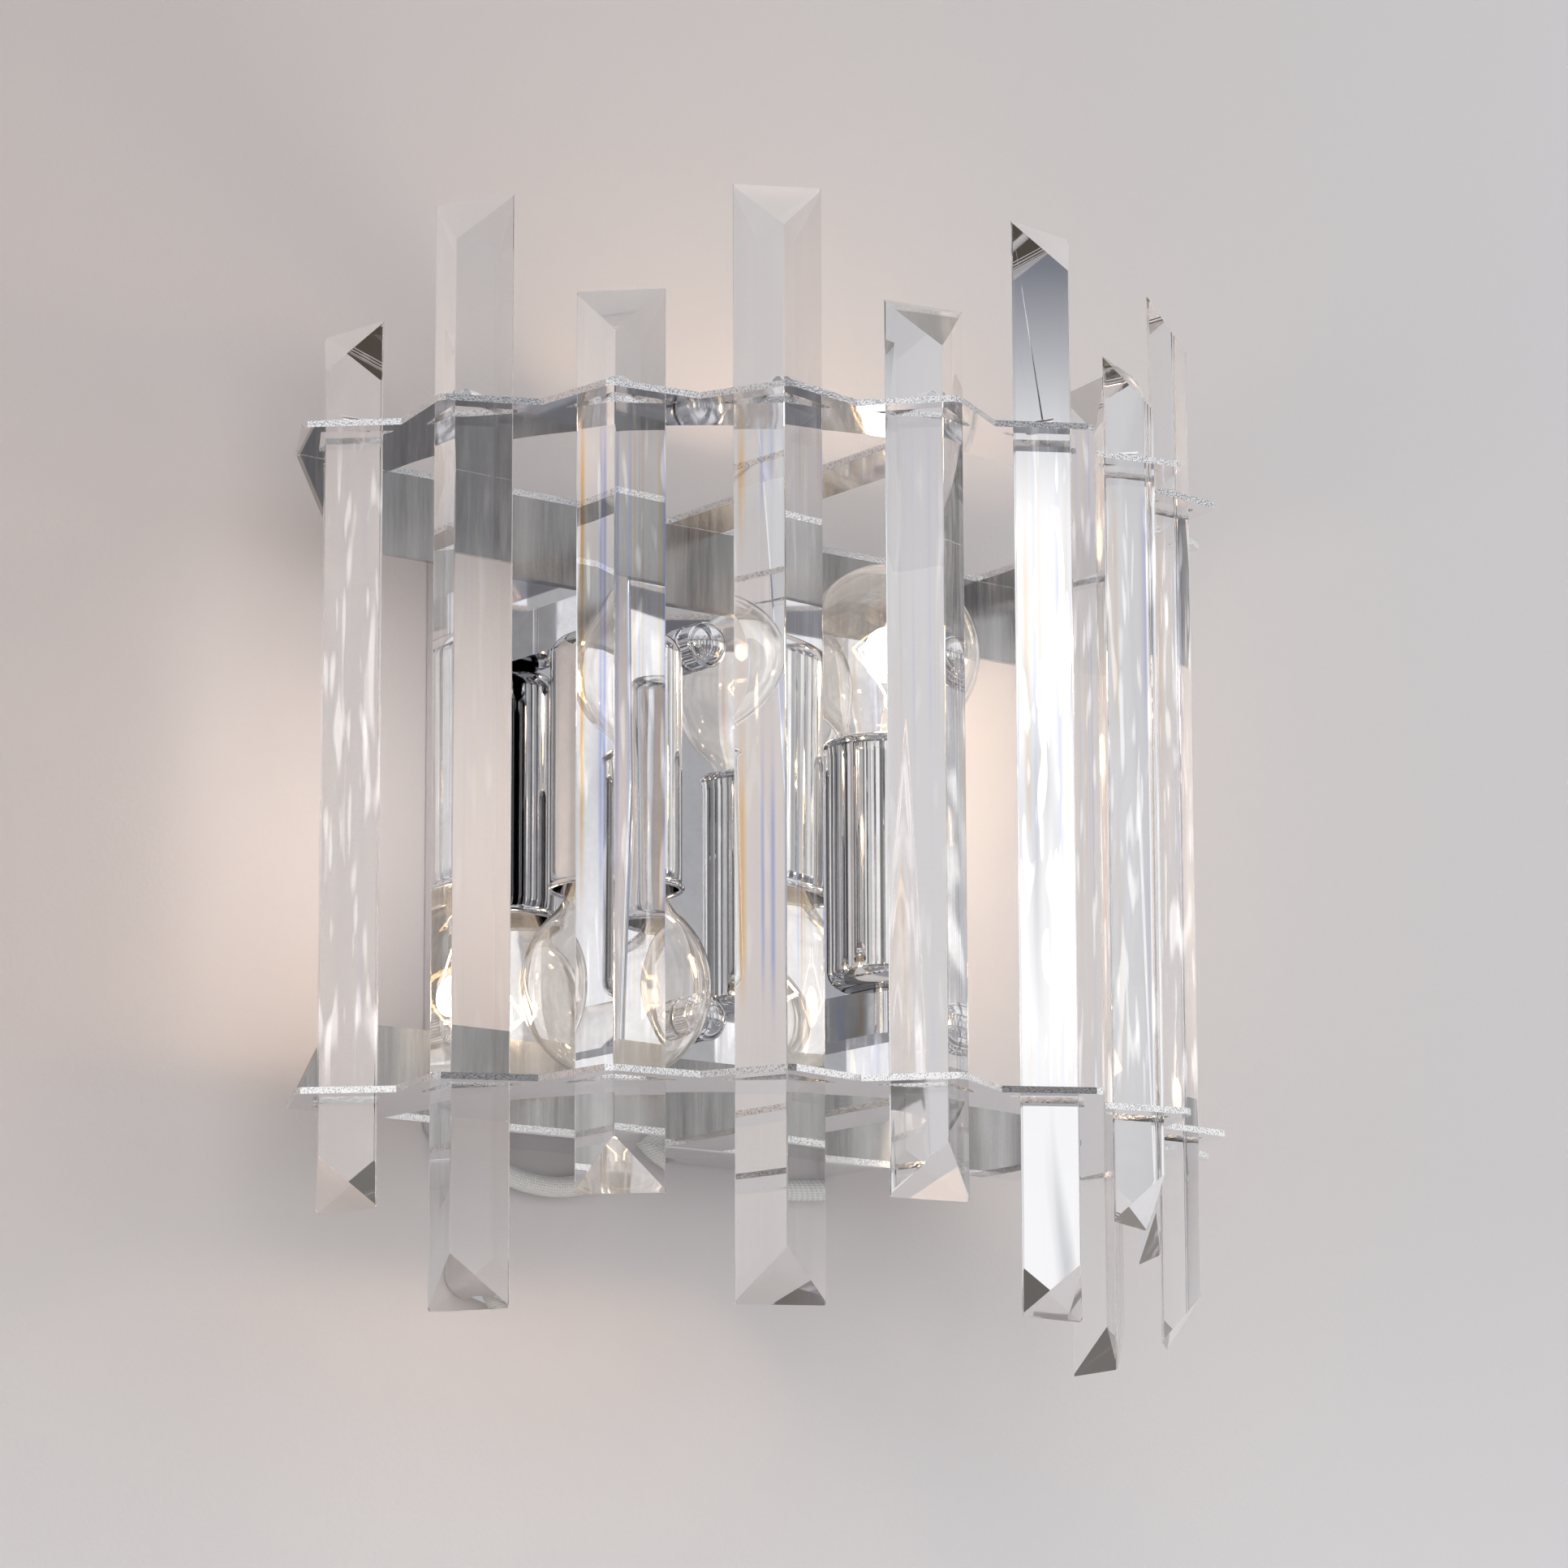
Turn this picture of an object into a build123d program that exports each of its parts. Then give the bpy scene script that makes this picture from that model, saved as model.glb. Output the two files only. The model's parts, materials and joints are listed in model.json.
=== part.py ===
"""Crystal wall sconce: two star-edged ring plates on a polished wall cover carry ten hanging prisms.

Millimetres, +Z up, wall in the plane Y = 0, the light stands out towards -Y.
The origin is the centre of the bracket's back, on the wall.
"""

import math
import os

from build123d import *

# ---------------------------------------------------------------- driving sizes
# Wall cover and its bracket
COVER_WIDTH = 124.0
COVER_HEIGHT = 155.0
COVER_DEPTH = 23.5
COVER_WALL = 1.0
COVER_CORNER_R = 4.0
COVER_FRONT_R = 1.2
BRACKET_WIDTH = 26.0
BRACKET_HEIGHT = 118.0
BRACKET_T = 2.0
WALL_SLOT_SPACING = 60.0
WALL_SLOT_LENGTH = 12.0
WALL_SLOT_WIDTH = 4.5
STUD_D = 4.0
STUD_FROM_FLANGE = 10.0
STUD_CLEARANCE = 0.1
COVER_HOLE_CLEARANCE = 0.3

# Domed thumb nuts that hold the cover
NUT_COLLAR_D = 11.4
NUT_COLLAR_LENGTH = 6.2
NUT_DOME_R = 5.6
NUT_DOME_HEIGHT = 3.6
NUT_BORE_DEPTH = 6.0
NUT_SEAT_GAP = 0.3

# Star-edged ring plates, each bent up from one sheet
SHEET_T = 1.5
TOOTH_COUNT = 10
TOOTH_TIP_R = 127.0
TOOTH_DEPTH = 12.0
TOOTH_TIP_FLAT = 2.0
RING_BAND = 25.5
CUTOUT_CENTRE = 4.7
SPOKE_WIDTH = 15.6
FLANGE_HEIGHT = 21.5
FLANGE_END_SLOPE = 11.5
BEND_R = 1.2
RING_STUD_D = 3.0
RING_STUD_LENGTH = 5.6
RING_STUD_INSET = 16.0
RING_NUT_AF = 5.5
RING_NUT_T = 2.4

# Prisms and the pins they hang by
PRISM_INSET = 15.1
PRISM_BASE = 21.4
PRISM_DEPTH = 8.9
LONG_PRISM = 254.0
SHORT_PRISM = 205.0
PRISM_END_RISE = 11.8
PRISM_EDGE_R = 0.35
HOLE_CLEARANCE = 1.0
HOLE_CORNER_R = 0.5
PIN_D = 3.0
PIN_OUT = 6.0
PIN_IN = 4.5
PIN_FIT = 0.1
PIN_SEAT_GAP = 0.3

# Lamp arms, sleeves and lampholders. Heights along a lamp count from its sleeve's closed end.
LAMP_INSET = 21.0
LAMP_FORWARD = 25.5
SLEEVE_END_Z = 38.2
SLEEVE_D = 31.0
SLEEVE_LENGTH = 61.0
SLEEVE_WALL = 1.0
SLEEVE_END_R = 4.8
ARM_SIZE = 11.0
ARM_GAP = 0.1
ARM_BORE_D = 7.0
ARM_END_R = 5.2
ARM_BASE_R = 1.2
NIPPLE_D = 8.0
NIPPLE_BORE = 5.2
ARM_NIPPLE_IN_ARM = 8.0
HOLDER_NIPPLE_UP = 3.0
HOLDER_NIPPLE_DOWN = 8.0
NIPPLE_NUT_AF = 13.0
NIPPLE_NUT_T = 2.5
THREAD_CLEARANCE = 0.1
HOLDER_D = 27.4
HOLDER_END = 50.0
HOLDER_FLOOR = 26.0
HOLDER_BASE_BORE = 12.0
SHELL_D = 16.0
SHELL_WALL = 0.6
CONTACT_T = 1.2
CONTACT_D = 9.0
HOLDER_FIT = 0.1

# Golf-ball bulbs with a small screw cap
BULB_D = 45.0
BULB_TIP = 106.0
BULB_NECK_R = 10.8
BULB_FLARE_R = 14.0
BULB_WALL = 0.8
CAP_D = 13.8
CAP_SKIRT_D = 15.0
CAP_LENGTH = 21.5
CAP_SKIRT_LENGTH = 2.4
CAP_WALL = 0.4
CAP_GAP = 0.3
CAP_CONE_LENGTH = 2.4
CAP_TIP_D = 5.0
CAP_TIP_LENGTH = 1.0
STEM_D = 6.4
STEM_LENGTH = 15.0
FILAMENT_R = 9.0
FILAMENT_RISE = 4.5
FILAMENT_FOOT = 3.0
FILAMENT_WIRE_D = 0.8

# Wiring behind the cover
BLOCK_SIZE = (30.0, 10.0, 14.0)
BLOCK_SCREW_D = 3.6
BLOCK_SCREW_PITCH = 9.0
EARTH_Z = -15.0
EARTH_HEAD_D = 7.0
EARTH_HEAD_T = 2.2
LAMP_LEAD_D = 2.4
LAMP_LEAD_BEND_R = 3.0
LEAD_D = 5.0
LEAD_DEPTH = 3.6
LEAD_NOTCH_WIDTH = 12.0
LEAD_NOTCH_DEPTH = 7.5
LEAD_TAIL = 13.0
LAMP_LEAD_TAIL = 12.0
LAMP_LEAD_IN = 20.0
# The supply lead's route inside the cover, below the terminal block, as (x, distance from the wall, z)
LEAD_INSIDE = (
    (-24.0, 6.4, -36.0),
    (-42.0, 5.0, -50.0),
)
# Its slack loop, as (x, height above the cover's underside)
LEAD_LOOP = (
    (-53.5, 13.5),
    (-52.5, 1.0),
    (-43.5, -6.9),
    (-27.0, -9.9),
    (-12.0, -6.2),
    (3.5, -0.2),
    (7.5, 10.5),
)

# ---------------------------------------------------------------- places that follow
LEFT, RIGHT = -1, 1
UPPER, LOWER = 1, -1
COVER_FRONT_Y = -COVER_DEPTH
RING_Y = COVER_FRONT_Y - SHEET_T
LAMP_Y = COVER_FRONT_Y - LAMP_FORWARD
HALF_HEIGHT = COVER_HEIGHT / 2
STUD_SPACING = COVER_HEIGHT - 2 * (FLANGE_HEIGHT + STUD_FROM_FLANGE)
RING_STUD_X = COVER_WIDTH / 2 - RING_STUD_INSET
LAMP_X = COVER_WIDTH / 2 - LAMP_INSET
TOOTH_VALLEY_R = TOOTH_TIP_R - TOOTH_DEPTH
CUTOUT_R = TOOTH_VALLEY_R - RING_BAND
PRISM_FLAT_R = TOOTH_TIP_R - PRISM_INSET
TOOTH_PITCH = 180.0 / TOOTH_COUNT
PRISM_HALF_ANGLE = math.atan2(PRISM_BASE / 2, PRISM_DEPTH)
ARM_Z = SLEEVE_END_Z + ARM_GAP + ARM_SIZE / 2
FLANGE_MID_Z = HALF_HEIGHT - FLANGE_HEIGHT / 2
HOLDER_START = SLEEVE_WALL + NIPPLE_NUT_T
BULB_R = BULB_D / 2
SHELL_START = HOLDER_FLOOR + CONTACT_T
CAP_TIP_START = SHELL_START + CAP_GAP
CAP_START = CAP_TIP_START + CAP_TIP_LENGTH + CAP_CONE_LENGTH
CAP_TOP = CAP_START + CAP_LENGTH
BULB_CENTRE = BULB_TIP - BULB_R
GLASS_START = CAP_TOP + CAP_SKIRT_LENGTH

os.makedirs("parts", exist_ok=True)


def save(piece, name):
    """Labels a finished piece and writes it to its own file."""
    piece.part.label = name
    export_step(piece.part, f"parts/{name}.step")


def hexagon_r(across_flats):
    """Corner radius of a hexagon from its width across flats."""
    return across_flats / 2 / math.cos(math.pi / 6)


def ring_point(radius, angle):
    """A point of the ring in plan, its angle in degrees from the wall line on the right."""
    turn = math.radians(angle)
    return (radius * math.cos(turn), RING_Y - radius * math.sin(turn))


def tooth_angle(index):
    """Angle of a tooth's middle: tooth 1 stands at the left end, seen from the room."""
    return 180.0 - (index - 0.5) * TOOTH_PITCH


def radial_plane(angle, height):
    """Level plane at the ring's centre whose x axis points out along a tooth."""
    turn = math.radians(angle)
    return Plane(
        origin=(0, RING_Y, height),
        x_dir=(math.cos(turn), -math.sin(turn), 0),
        z_dir=(0, 0, 1),
    )


def lamp_plane(side):
    """Upright plane through a lamp's axis. Its y axis runs the way the lamp points, from the sleeve's end."""
    return Plane(
        origin=(side * LAMP_X, LAMP_Y, -side * SLEEVE_END_Z),
        x_dir=(1, 0, 0),
        z_dir=(0, -side, 0),
    )


def lamp_axis(side):
    """Axis of a lamp: the left one points down and the right one up."""
    return Axis((side * LAMP_X, LAMP_Y, 0), (0, 0, side))


def lamp_section(side, distance):
    """Plane across a lamp at a distance from its sleeve's closed end."""
    return Plane(
        origin=(side * LAMP_X, LAMP_Y, side * (distance - SLEEVE_END_Z)),
        x_dir=(1, 0, 0),
        z_dir=(0, 0, side),
    )


# ---------------------------------------------------------------- wall bracket and cover
def make_bracket():
    """Flat steel strap with two slots for wall screws and holes for the cover's studs."""
    with BuildPart() as wall_bracket:
        with BuildSketch(Plane.XZ):
            RectangleRounded(BRACKET_WIDTH, BRACKET_HEIGHT, COVER_CORNER_R)
            with GridLocations(0, WALL_SLOT_SPACING, 1, 2):
                SlotOverall(WALL_SLOT_LENGTH, WALL_SLOT_WIDTH, rotation=90, mode=Mode.SUBTRACT)
            with GridLocations(0, STUD_SPACING, 1, 2):
                Circle(STUD_D / 2 + STUD_CLEARANCE, mode=Mode.SUBTRACT)
        extrude(amount=BRACKET_T)
    save(wall_bracket, "wall_bracket")


def make_cover_studs():
    """Two studs pressed into the bracket, reaching through the cover's front into the thumb nuts."""
    with BuildPart() as cover_studs:
        with BuildSketch(Plane.XZ):
            with GridLocations(0, STUD_SPACING, 1, 2):
                Circle(STUD_D / 2)
        extrude(amount=COVER_DEPTH + NUT_BORE_DEPTH - NUT_SEAT_GAP)
    save(cover_studs, "cover_studs")


def make_cover():
    """Pressed box, open to the wall, with holes for studs, arms and ring studs and two lead notches."""
    inner_r = COVER_CORNER_R - COVER_WALL
    with BuildPart() as wall_cover:
        with BuildSketch(Plane.XZ):
            RectangleRounded(COVER_WIDTH, COVER_HEIGHT, COVER_CORNER_R)
        extrude(amount=COVER_DEPTH)
        fillet(wall_cover.faces().sort_by(Axis.Y)[0].edges(), radius=COVER_FRONT_R)
        with BuildSketch(Plane.XZ):
            RectangleRounded(
                COVER_WIDTH - 2 * COVER_WALL, COVER_HEIGHT - 2 * COVER_WALL, inner_r
            )
        extrude(amount=COVER_DEPTH - COVER_WALL, mode=Mode.SUBTRACT)
        with BuildSketch(Plane.XZ):
            with GridLocations(0, STUD_SPACING, 1, 2):
                Circle(STUD_D / 2 + COVER_HOLE_CLEARANCE)
            with Locations((LEFT * LAMP_X, ARM_Z), (RIGHT * LAMP_X, -ARM_Z)):
                Circle(NIPPLE_D / 2 + THREAD_CLEARANCE)
            with GridLocations(2 * RING_STUD_X, 2 * FLANGE_MID_Z, 2, 2):
                Circle(RING_STUD_D / 2 + COVER_HOLE_CLEARANCE)
        extrude(amount=COVER_DEPTH, mode=Mode.SUBTRACT)
        with BuildSketch(Plane.XY.offset(-HALF_HEIGHT)):
            with Locations(*[(x, 0) for x in lead_crossings()]):
                SlotOverall(
                    2 * LEAD_NOTCH_DEPTH, LEAD_NOTCH_WIDTH, rotation=90
                )
        extrude(amount=2 * COVER_WALL, mode=Mode.SUBTRACT)
    save(wall_cover, "wall_cover")


def make_cover_nut(name, height):
    """Knurled collar with a domed nose, bored for its stud."""
    seat_y = COVER_FRONT_Y - NUT_SEAT_GAP
    nut_plane = Plane(origin=(0, seat_y, height), x_dir=(1, 0, 0), z_dir=(0, -1, 0))
    profile_plane = Plane(origin=(0, seat_y, height), x_dir=(0, -1, 0), z_dir=(1, 0, 0))
    rim_drop = NUT_DOME_R - NUT_DOME_HEIGHT
    rim_r = math.sqrt(NUT_DOME_R**2 - rim_drop**2)
    tip = NUT_COLLAR_LENGTH + NUT_DOME_HEIGHT
    half_angle = math.acos(rim_drop / NUT_DOME_R) / 2
    sag = (
        NUT_COLLAR_LENGTH - rim_drop + NUT_DOME_R * math.cos(half_angle),
        NUT_DOME_R * math.sin(half_angle),
    )
    with BuildPart() as cover_nut:
        with BuildSketch(profile_plane):
            with BuildLine():
                Polyline(
                    (tip, 0),
                    (0, 0),
                    (0, NUT_COLLAR_D / 2),
                    (NUT_COLLAR_LENGTH, NUT_COLLAR_D / 2),
                    (NUT_COLLAR_LENGTH, rim_r),
                )
                ThreePointArc((NUT_COLLAR_LENGTH, rim_r), sag, (tip, 0))
            make_face()
        revolve(axis=Axis((0, 0, height), (0, -1, 0)))
        with BuildSketch(nut_plane):
            Circle(STUD_D / 2 + STUD_CLEARANCE)
        extrude(amount=NUT_BORE_DEPTH, mode=Mode.SUBTRACT)
    save(cover_nut, name)


# ---------------------------------------------------------------- ring plates
def star_outline():
    """Outline of a ring plate: teeth from right to left, closed along the wall side of its bend."""
    half_flat = math.degrees(TOOTH_TIP_FLAT / 2 / TOOTH_TIP_R)
    points = [ring_point(TOOTH_VALLEY_R, 0)]
    for tooth in range(TOOTH_COUNT):
        middle = (tooth + 0.5) * TOOTH_PITCH
        points.append(ring_point(TOOTH_TIP_R, middle - half_flat))
        points.append(ring_point(TOOTH_TIP_R, middle + half_flat))
        points.append(ring_point(TOOTH_VALLEY_R, middle + TOOTH_PITCH / 2))
    points.append((-TOOTH_VALLEY_R, COVER_FRONT_Y))
    points.append((TOOTH_VALLEY_R, COVER_FRONT_Y))
    return points


def hole_outline():
    """Three-cornered hole round a prism, its x axis pointing out along the tooth."""
    inner = PRISM_FLAT_R - HOLE_CLEARANCE
    depth = PRISM_DEPTH + HOLE_CLEARANCE + HOLE_CLEARANCE / math.sin(PRISM_HALF_ANGLE)
    half_width = depth * math.tan(PRISM_HALF_ANGLE)
    return [(inner, -half_width), (inner + depth, 0), (inner, half_width)]


def make_ring(name, side):
    """Star-edged plate, spoke and back flange bent from one sheet, with two welded studs."""
    outer_face = side * HALF_HEIGHT
    flange_end = TOOTH_VALLEY_R - FLANGE_END_SLOPE
    with BuildPart() as ring:
        with BuildSketch(Plane.XY.offset(outer_face)):
            with BuildLine():
                Polyline(*star_outline(), close=True)
            make_face()
        extrude(amount=-side * SHEET_T)
        with BuildSketch(Plane.XZ.offset(COVER_DEPTH)):
            with BuildLine():
                Polyline(
                    (-TOOTH_VALLEY_R, outer_face),
                    (TOOTH_VALLEY_R, outer_face),
                    (flange_end, side * (HALF_HEIGHT - FLANGE_HEIGHT)),
                    (-flange_end, side * (HALF_HEIGHT - FLANGE_HEIGHT)),
                    close=True,
                )
            make_face()
        extrude(amount=SHEET_T)
        with BuildSketch(Plane.XY.offset(outer_face)):
            with Locations((0, RING_Y - CUTOUT_CENTRE)):
                Circle(CUTOUT_R)
            with Locations((0, RING_Y)):
                Rectangle(2 * CUTOUT_R, 2 * CUTOUT_R, align=(Align.CENTER, Align.MIN), mode=Mode.SUBTRACT)
            with Locations((0, RING_Y)):
                Rectangle(SPOKE_WIDTH, 4 * CUTOUT_R, mode=Mode.SUBTRACT)
        extrude(amount=-side * SHEET_T, mode=Mode.SUBTRACT)
        for tooth in range(1, TOOTH_COUNT + 1):
            with BuildSketch(radial_plane(tooth_angle(tooth), outer_face)) as hole:
                with BuildLine():
                    Polyline(*hole_outline(), close=True)
                make_face()
                fillet(hole.vertices(), radius=HOLE_CORNER_R)
            extrude(amount=-side * SHEET_T, mode=Mode.SUBTRACT)
        bend = (
            ring.edges()
            .filter_by(Axis.X)
            .filter_by_position(Axis.Y, COVER_FRONT_Y - 0.01, COVER_FRONT_Y + 0.01)
            .sort_by(Axis.Z)[-1 if side == UPPER else 0]
        )
        fillet(bend, radius=BEND_R)
        with BuildSketch(Plane.XZ.offset(COVER_DEPTH)):
            with Locations(
                (LEFT * RING_STUD_X, side * FLANGE_MID_Z),
                (RIGHT * RING_STUD_X, side * FLANGE_MID_Z),
            ):
                Circle(RING_STUD_D / 2)
        extrude(amount=-RING_STUD_LENGTH)
    save(ring, name)


def make_ring_nuts():
    """Hexagon nuts behind the cover's front that hold the ring plates' studs."""
    with BuildPart() as ring_nuts:
        with BuildSketch(Plane.XZ.offset(COVER_DEPTH - COVER_WALL)):
            with GridLocations(2 * RING_STUD_X, 2 * FLANGE_MID_Z, 2, 2):
                RegularPolygon(hexagon_r(RING_NUT_AF), 6)
                Circle(RING_STUD_D / 2 + THREAD_CLEARANCE, mode=Mode.SUBTRACT)
        extrude(amount=-RING_NUT_T)
    save(ring_nuts, "ring_nuts")


# ---------------------------------------------------------------- prisms
def make_prism(index):
    """Three-sided glass prism, flat face inwards, both ends cut back towards its front edge."""
    length = LONG_PRISM if index % 2 == 0 else SHORT_PRISM
    angle = tooth_angle(index)
    front_r = PRISM_FLAT_R + PRISM_DEPTH
    turn = math.radians(angle)
    outwards = (math.cos(turn), -math.sin(turn), 0)
    across = (-math.sin(turn), -math.cos(turn), 0)
    centre = Vector(0, RING_Y, 0)
    pin_z = HALF_HEIGHT + PIN_SEAT_GAP + PIN_D / 2
    side_plane = Plane(origin=centre, x_dir=outwards, z_dir=across)
    pin_plane = Plane(
        origin=centre + Vector(*outwards) * (PRISM_FLAT_R - PIN_OUT) + Vector(0, 0, pin_z),
        x_dir=(0, 0, 1),
        z_dir=outwards,
    )
    half = length / 2
    with BuildPart() as prism:
        with BuildSketch(radial_plane(angle, -half)) as section:
            with BuildLine():
                Polyline(
                    (PRISM_FLAT_R, -PRISM_BASE / 2),
                    (front_r, 0),
                    (PRISM_FLAT_R, PRISM_BASE / 2),
                    close=True,
                )
            make_face()
            fillet(section.vertices(), radius=PRISM_EDGE_R)
        extrude(amount=length)
        with BuildSketch(side_plane):
            with BuildLine():
                Polyline(
                    (PRISM_FLAT_R, -half),
                    (front_r, -half + PRISM_END_RISE),
                    (front_r, half - PRISM_END_RISE),
                    (PRISM_FLAT_R, half),
                    close=True,
                )
            make_face()
        extrude(amount=PRISM_BASE, both=True, mode=Mode.INTERSECT)
        with BuildSketch(pin_plane.offset(PIN_OUT)):
            Circle(PIN_D / 2 + PIN_FIT)
        extrude(amount=PIN_IN + PIN_FIT, mode=Mode.SUBTRACT)
    save(prism, f"crystal_{index}")

    with BuildPart() as pin:
        with BuildSketch(pin_plane):
            Circle(PIN_D / 2)
        extrude(amount=PIN_OUT + PIN_IN)
    save(pin, f"crystal_pin_{index}")


# ---------------------------------------------------------------- lamps
def make_arm(name, side):
    """Square bar from the cover to over the lamp, bored along its length and across its end."""
    arm_z = -side * ARM_Z
    length = LAMP_FORWARD + ARM_SIZE / 2
    arm_plane = Plane(
        origin=(side * LAMP_X, COVER_FRONT_Y, arm_z), x_dir=(1, 0, 0), z_dir=(0, -1, 0)
    )
    with BuildPart() as arm:
        with BuildSketch(arm_plane):
            Rectangle(ARM_SIZE, ARM_SIZE)
        extrude(amount=length)
        fillet(
            arm.edges().filter_by(Axis.Z).group_by(Axis.Y)[0],
            radius=ARM_END_R,
        )
        fillet(
            arm.edges().filter_by(Axis.Z).group_by(Axis.Y)[-1],
            radius=ARM_BASE_R,
        )
        with BuildSketch(arm_plane):
            Circle(NIPPLE_D / 2 + THREAD_CLEARANCE)
        extrude(amount=ARM_NIPPLE_IN_ARM + THREAD_CLEARANCE, mode=Mode.SUBTRACT)
        with BuildSketch(arm_plane):
            Circle(ARM_BORE_D / 2)
        extrude(amount=LAMP_FORWARD, mode=Mode.SUBTRACT)
        with BuildSketch(lamp_section(side, -ARM_GAP)):
            Circle(NIPPLE_D / 2 + THREAD_CLEARANCE)
        extrude(amount=-ARM_SIZE / 2, mode=Mode.SUBTRACT)
    save(arm, name)


def make_arm_nipples():
    """Hollow threaded tubes that carry the arms through the cover's front, and the leads inside them."""
    inside = COVER_WALL + NIPPLE_NUT_T + 1.0
    with BuildPart() as arm_nipples:
        with BuildSketch(Plane.XZ.offset(COVER_DEPTH + ARM_NIPPLE_IN_ARM)):
            with Locations((LEFT * LAMP_X, ARM_Z), (RIGHT * LAMP_X, -ARM_Z)):
                Circle(NIPPLE_D / 2)
                Circle(NIPPLE_BORE / 2, mode=Mode.SUBTRACT)
        extrude(amount=-(ARM_NIPPLE_IN_ARM + inside))
    save(arm_nipples, "arm_nipples")


def make_arm_nuts():
    """Thin hexagon nuts that draw the arms against the cover from inside."""
    with BuildPart() as arm_nuts:
        with BuildSketch(Plane.XZ.offset(COVER_DEPTH - COVER_WALL)):
            with Locations((LEFT * LAMP_X, ARM_Z), (RIGHT * LAMP_X, -ARM_Z)):
                RegularPolygon(hexagon_r(NIPPLE_NUT_AF), 6)
                Circle(NIPPLE_D / 2 + THREAD_CLEARANCE, mode=Mode.SUBTRACT)
        extrude(amount=-NIPPLE_NUT_T)
    save(arm_nuts, "arm_nuts")


def make_sleeve(name, side):
    """Metal sleeve round the lampholder: a deep cup with a rounded, bored closed end."""
    outer_r = SLEEVE_D / 2
    inner_r = outer_r - SLEEVE_WALL
    bore_r = NIPPLE_D / 2 + THREAD_CLEARANCE
    with BuildPart() as sleeve:
        with BuildSketch(lamp_plane(side)) as profile:
            with BuildLine():
                Polyline(
                    (bore_r, 0),
                    (outer_r, 0),
                    (outer_r, SLEEVE_LENGTH),
                    (inner_r, SLEEVE_LENGTH),
                    (inner_r, SLEEVE_WALL),
                    (bore_r, SLEEVE_WALL),
                    close=True,
                )
            make_face()
            outer_corner = profile.vertices().sort_by_distance((outer_r, 0))[0]
            inner_corner = profile.vertices().sort_by_distance((inner_r, SLEEVE_WALL))[0]
            fillet(outer_corner, radius=SLEEVE_END_R)
            fillet(inner_corner, radius=SLEEVE_END_R - SLEEVE_WALL)
        revolve(axis=lamp_axis(side))
    save(sleeve, name)


def make_holder_nipples():
    """Hollow threaded tubes that join each arm, sleeve and lampholder."""
    with BuildPart() as holder_nipples:
        for side in (LEFT, RIGHT):
            with BuildSketch(lamp_section(side, -HOLDER_NIPPLE_UP)):
                Circle(NIPPLE_D / 2)
                Circle(NIPPLE_BORE / 2, mode=Mode.SUBTRACT)
            extrude(amount=HOLDER_NIPPLE_UP + HOLDER_NIPPLE_DOWN)
    save(holder_nipples, "holder_nipples")


def make_sleeve_nuts():
    """Flat nuts that clamp the sleeves' closed ends under the arms."""
    with BuildPart() as sleeve_nuts:
        for side in (LEFT, RIGHT):
            with BuildSketch(lamp_section(side, SLEEVE_WALL)):
                RegularPolygon(hexagon_r(NIPPLE_NUT_AF), 6)
                Circle(NIPPLE_D / 2 + THREAD_CLEARANCE, mode=Mode.SUBTRACT)
            extrude(amount=NIPPLE_NUT_T)
    save(sleeve_nuts, "sleeve_nuts")


def make_holder(name, side):
    """Insulating lampholder body, bored for its nipple at the base and for the screw shell at the mouth."""
    with BuildPart() as holder:
        with BuildSketch(lamp_section(side, HOLDER_START)):
            Circle(HOLDER_D / 2)
        extrude(amount=HOLDER_END - HOLDER_START)
        with BuildSketch(lamp_section(side, HOLDER_START)):
            Circle(NIPPLE_D / 2 + THREAD_CLEARANCE)
        extrude(amount=HOLDER_BASE_BORE - HOLDER_START, mode=Mode.SUBTRACT)
        with BuildSketch(lamp_section(side, HOLDER_START)):
            Circle(LAMP_LEAD_D)
        extrude(amount=HOLDER_FLOOR - HOLDER_START, mode=Mode.SUBTRACT)
        with BuildSketch(lamp_section(side, HOLDER_FLOOR)):
            Circle(SHELL_D / 2 + HOLDER_FIT)
        extrude(amount=HOLDER_END - HOLDER_FLOOR, mode=Mode.SUBTRACT)
    save(holder, name)


def make_shell(name, side):
    """Threaded metal shell that takes the bulb's cap."""
    with BuildPart() as shell:
        with BuildSketch(lamp_section(side, SHELL_START)):
            Circle(SHELL_D / 2)
            Circle(SHELL_D / 2 - SHELL_WALL, mode=Mode.SUBTRACT)
        extrude(amount=HOLDER_END - SHELL_START)
    save(shell, name)


def make_contacts():
    """Centre contact discs on the lampholders' floors."""
    with BuildPart() as contacts:
        for side in (LEFT, RIGHT):
            with BuildSketch(lamp_section(side, HOLDER_FLOOR)):
                Circle(CONTACT_D / 2)
            extrude(amount=CONTACT_T)
    save(contacts, "holder_contacts")


# ---------------------------------------------------------------- bulbs
def glass_profile(inset):
    """Corner points of a bulb's outline at an inset from its outside, as (radius, distance)."""
    ball_r = BULB_R - inset
    neck_r = BULB_NECK_R - inset
    flare_r = BULB_FLARE_R + inset
    flare_x = neck_r + flare_r
    flare_drop = math.sqrt((ball_r + flare_r) ** 2 - flare_x**2)
    flare_y = BULB_CENTRE - flare_drop
    share = ball_r / (ball_r + flare_r)
    join = (flare_x * share, BULB_CENTRE - flare_drop * share)
    start_angle = math.pi
    end_angle = math.atan2(join[1] - flare_y, join[0] - flare_x)
    middle = (start_angle + end_angle) / 2
    flare_mid = (flare_x + flare_r * math.cos(middle), flare_y + flare_r * math.sin(middle))
    join_angle = math.atan2(join[1] - BULB_CENTRE, join[0])
    ball_mid_angle = (join_angle + math.pi / 2) / 2
    ball_mid = (
        ball_r * math.cos(ball_mid_angle),
        BULB_CENTRE + ball_r * math.sin(ball_mid_angle),
    )
    return neck_r, flare_y, flare_mid, join, ball_mid, BULB_CENTRE + ball_r


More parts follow.
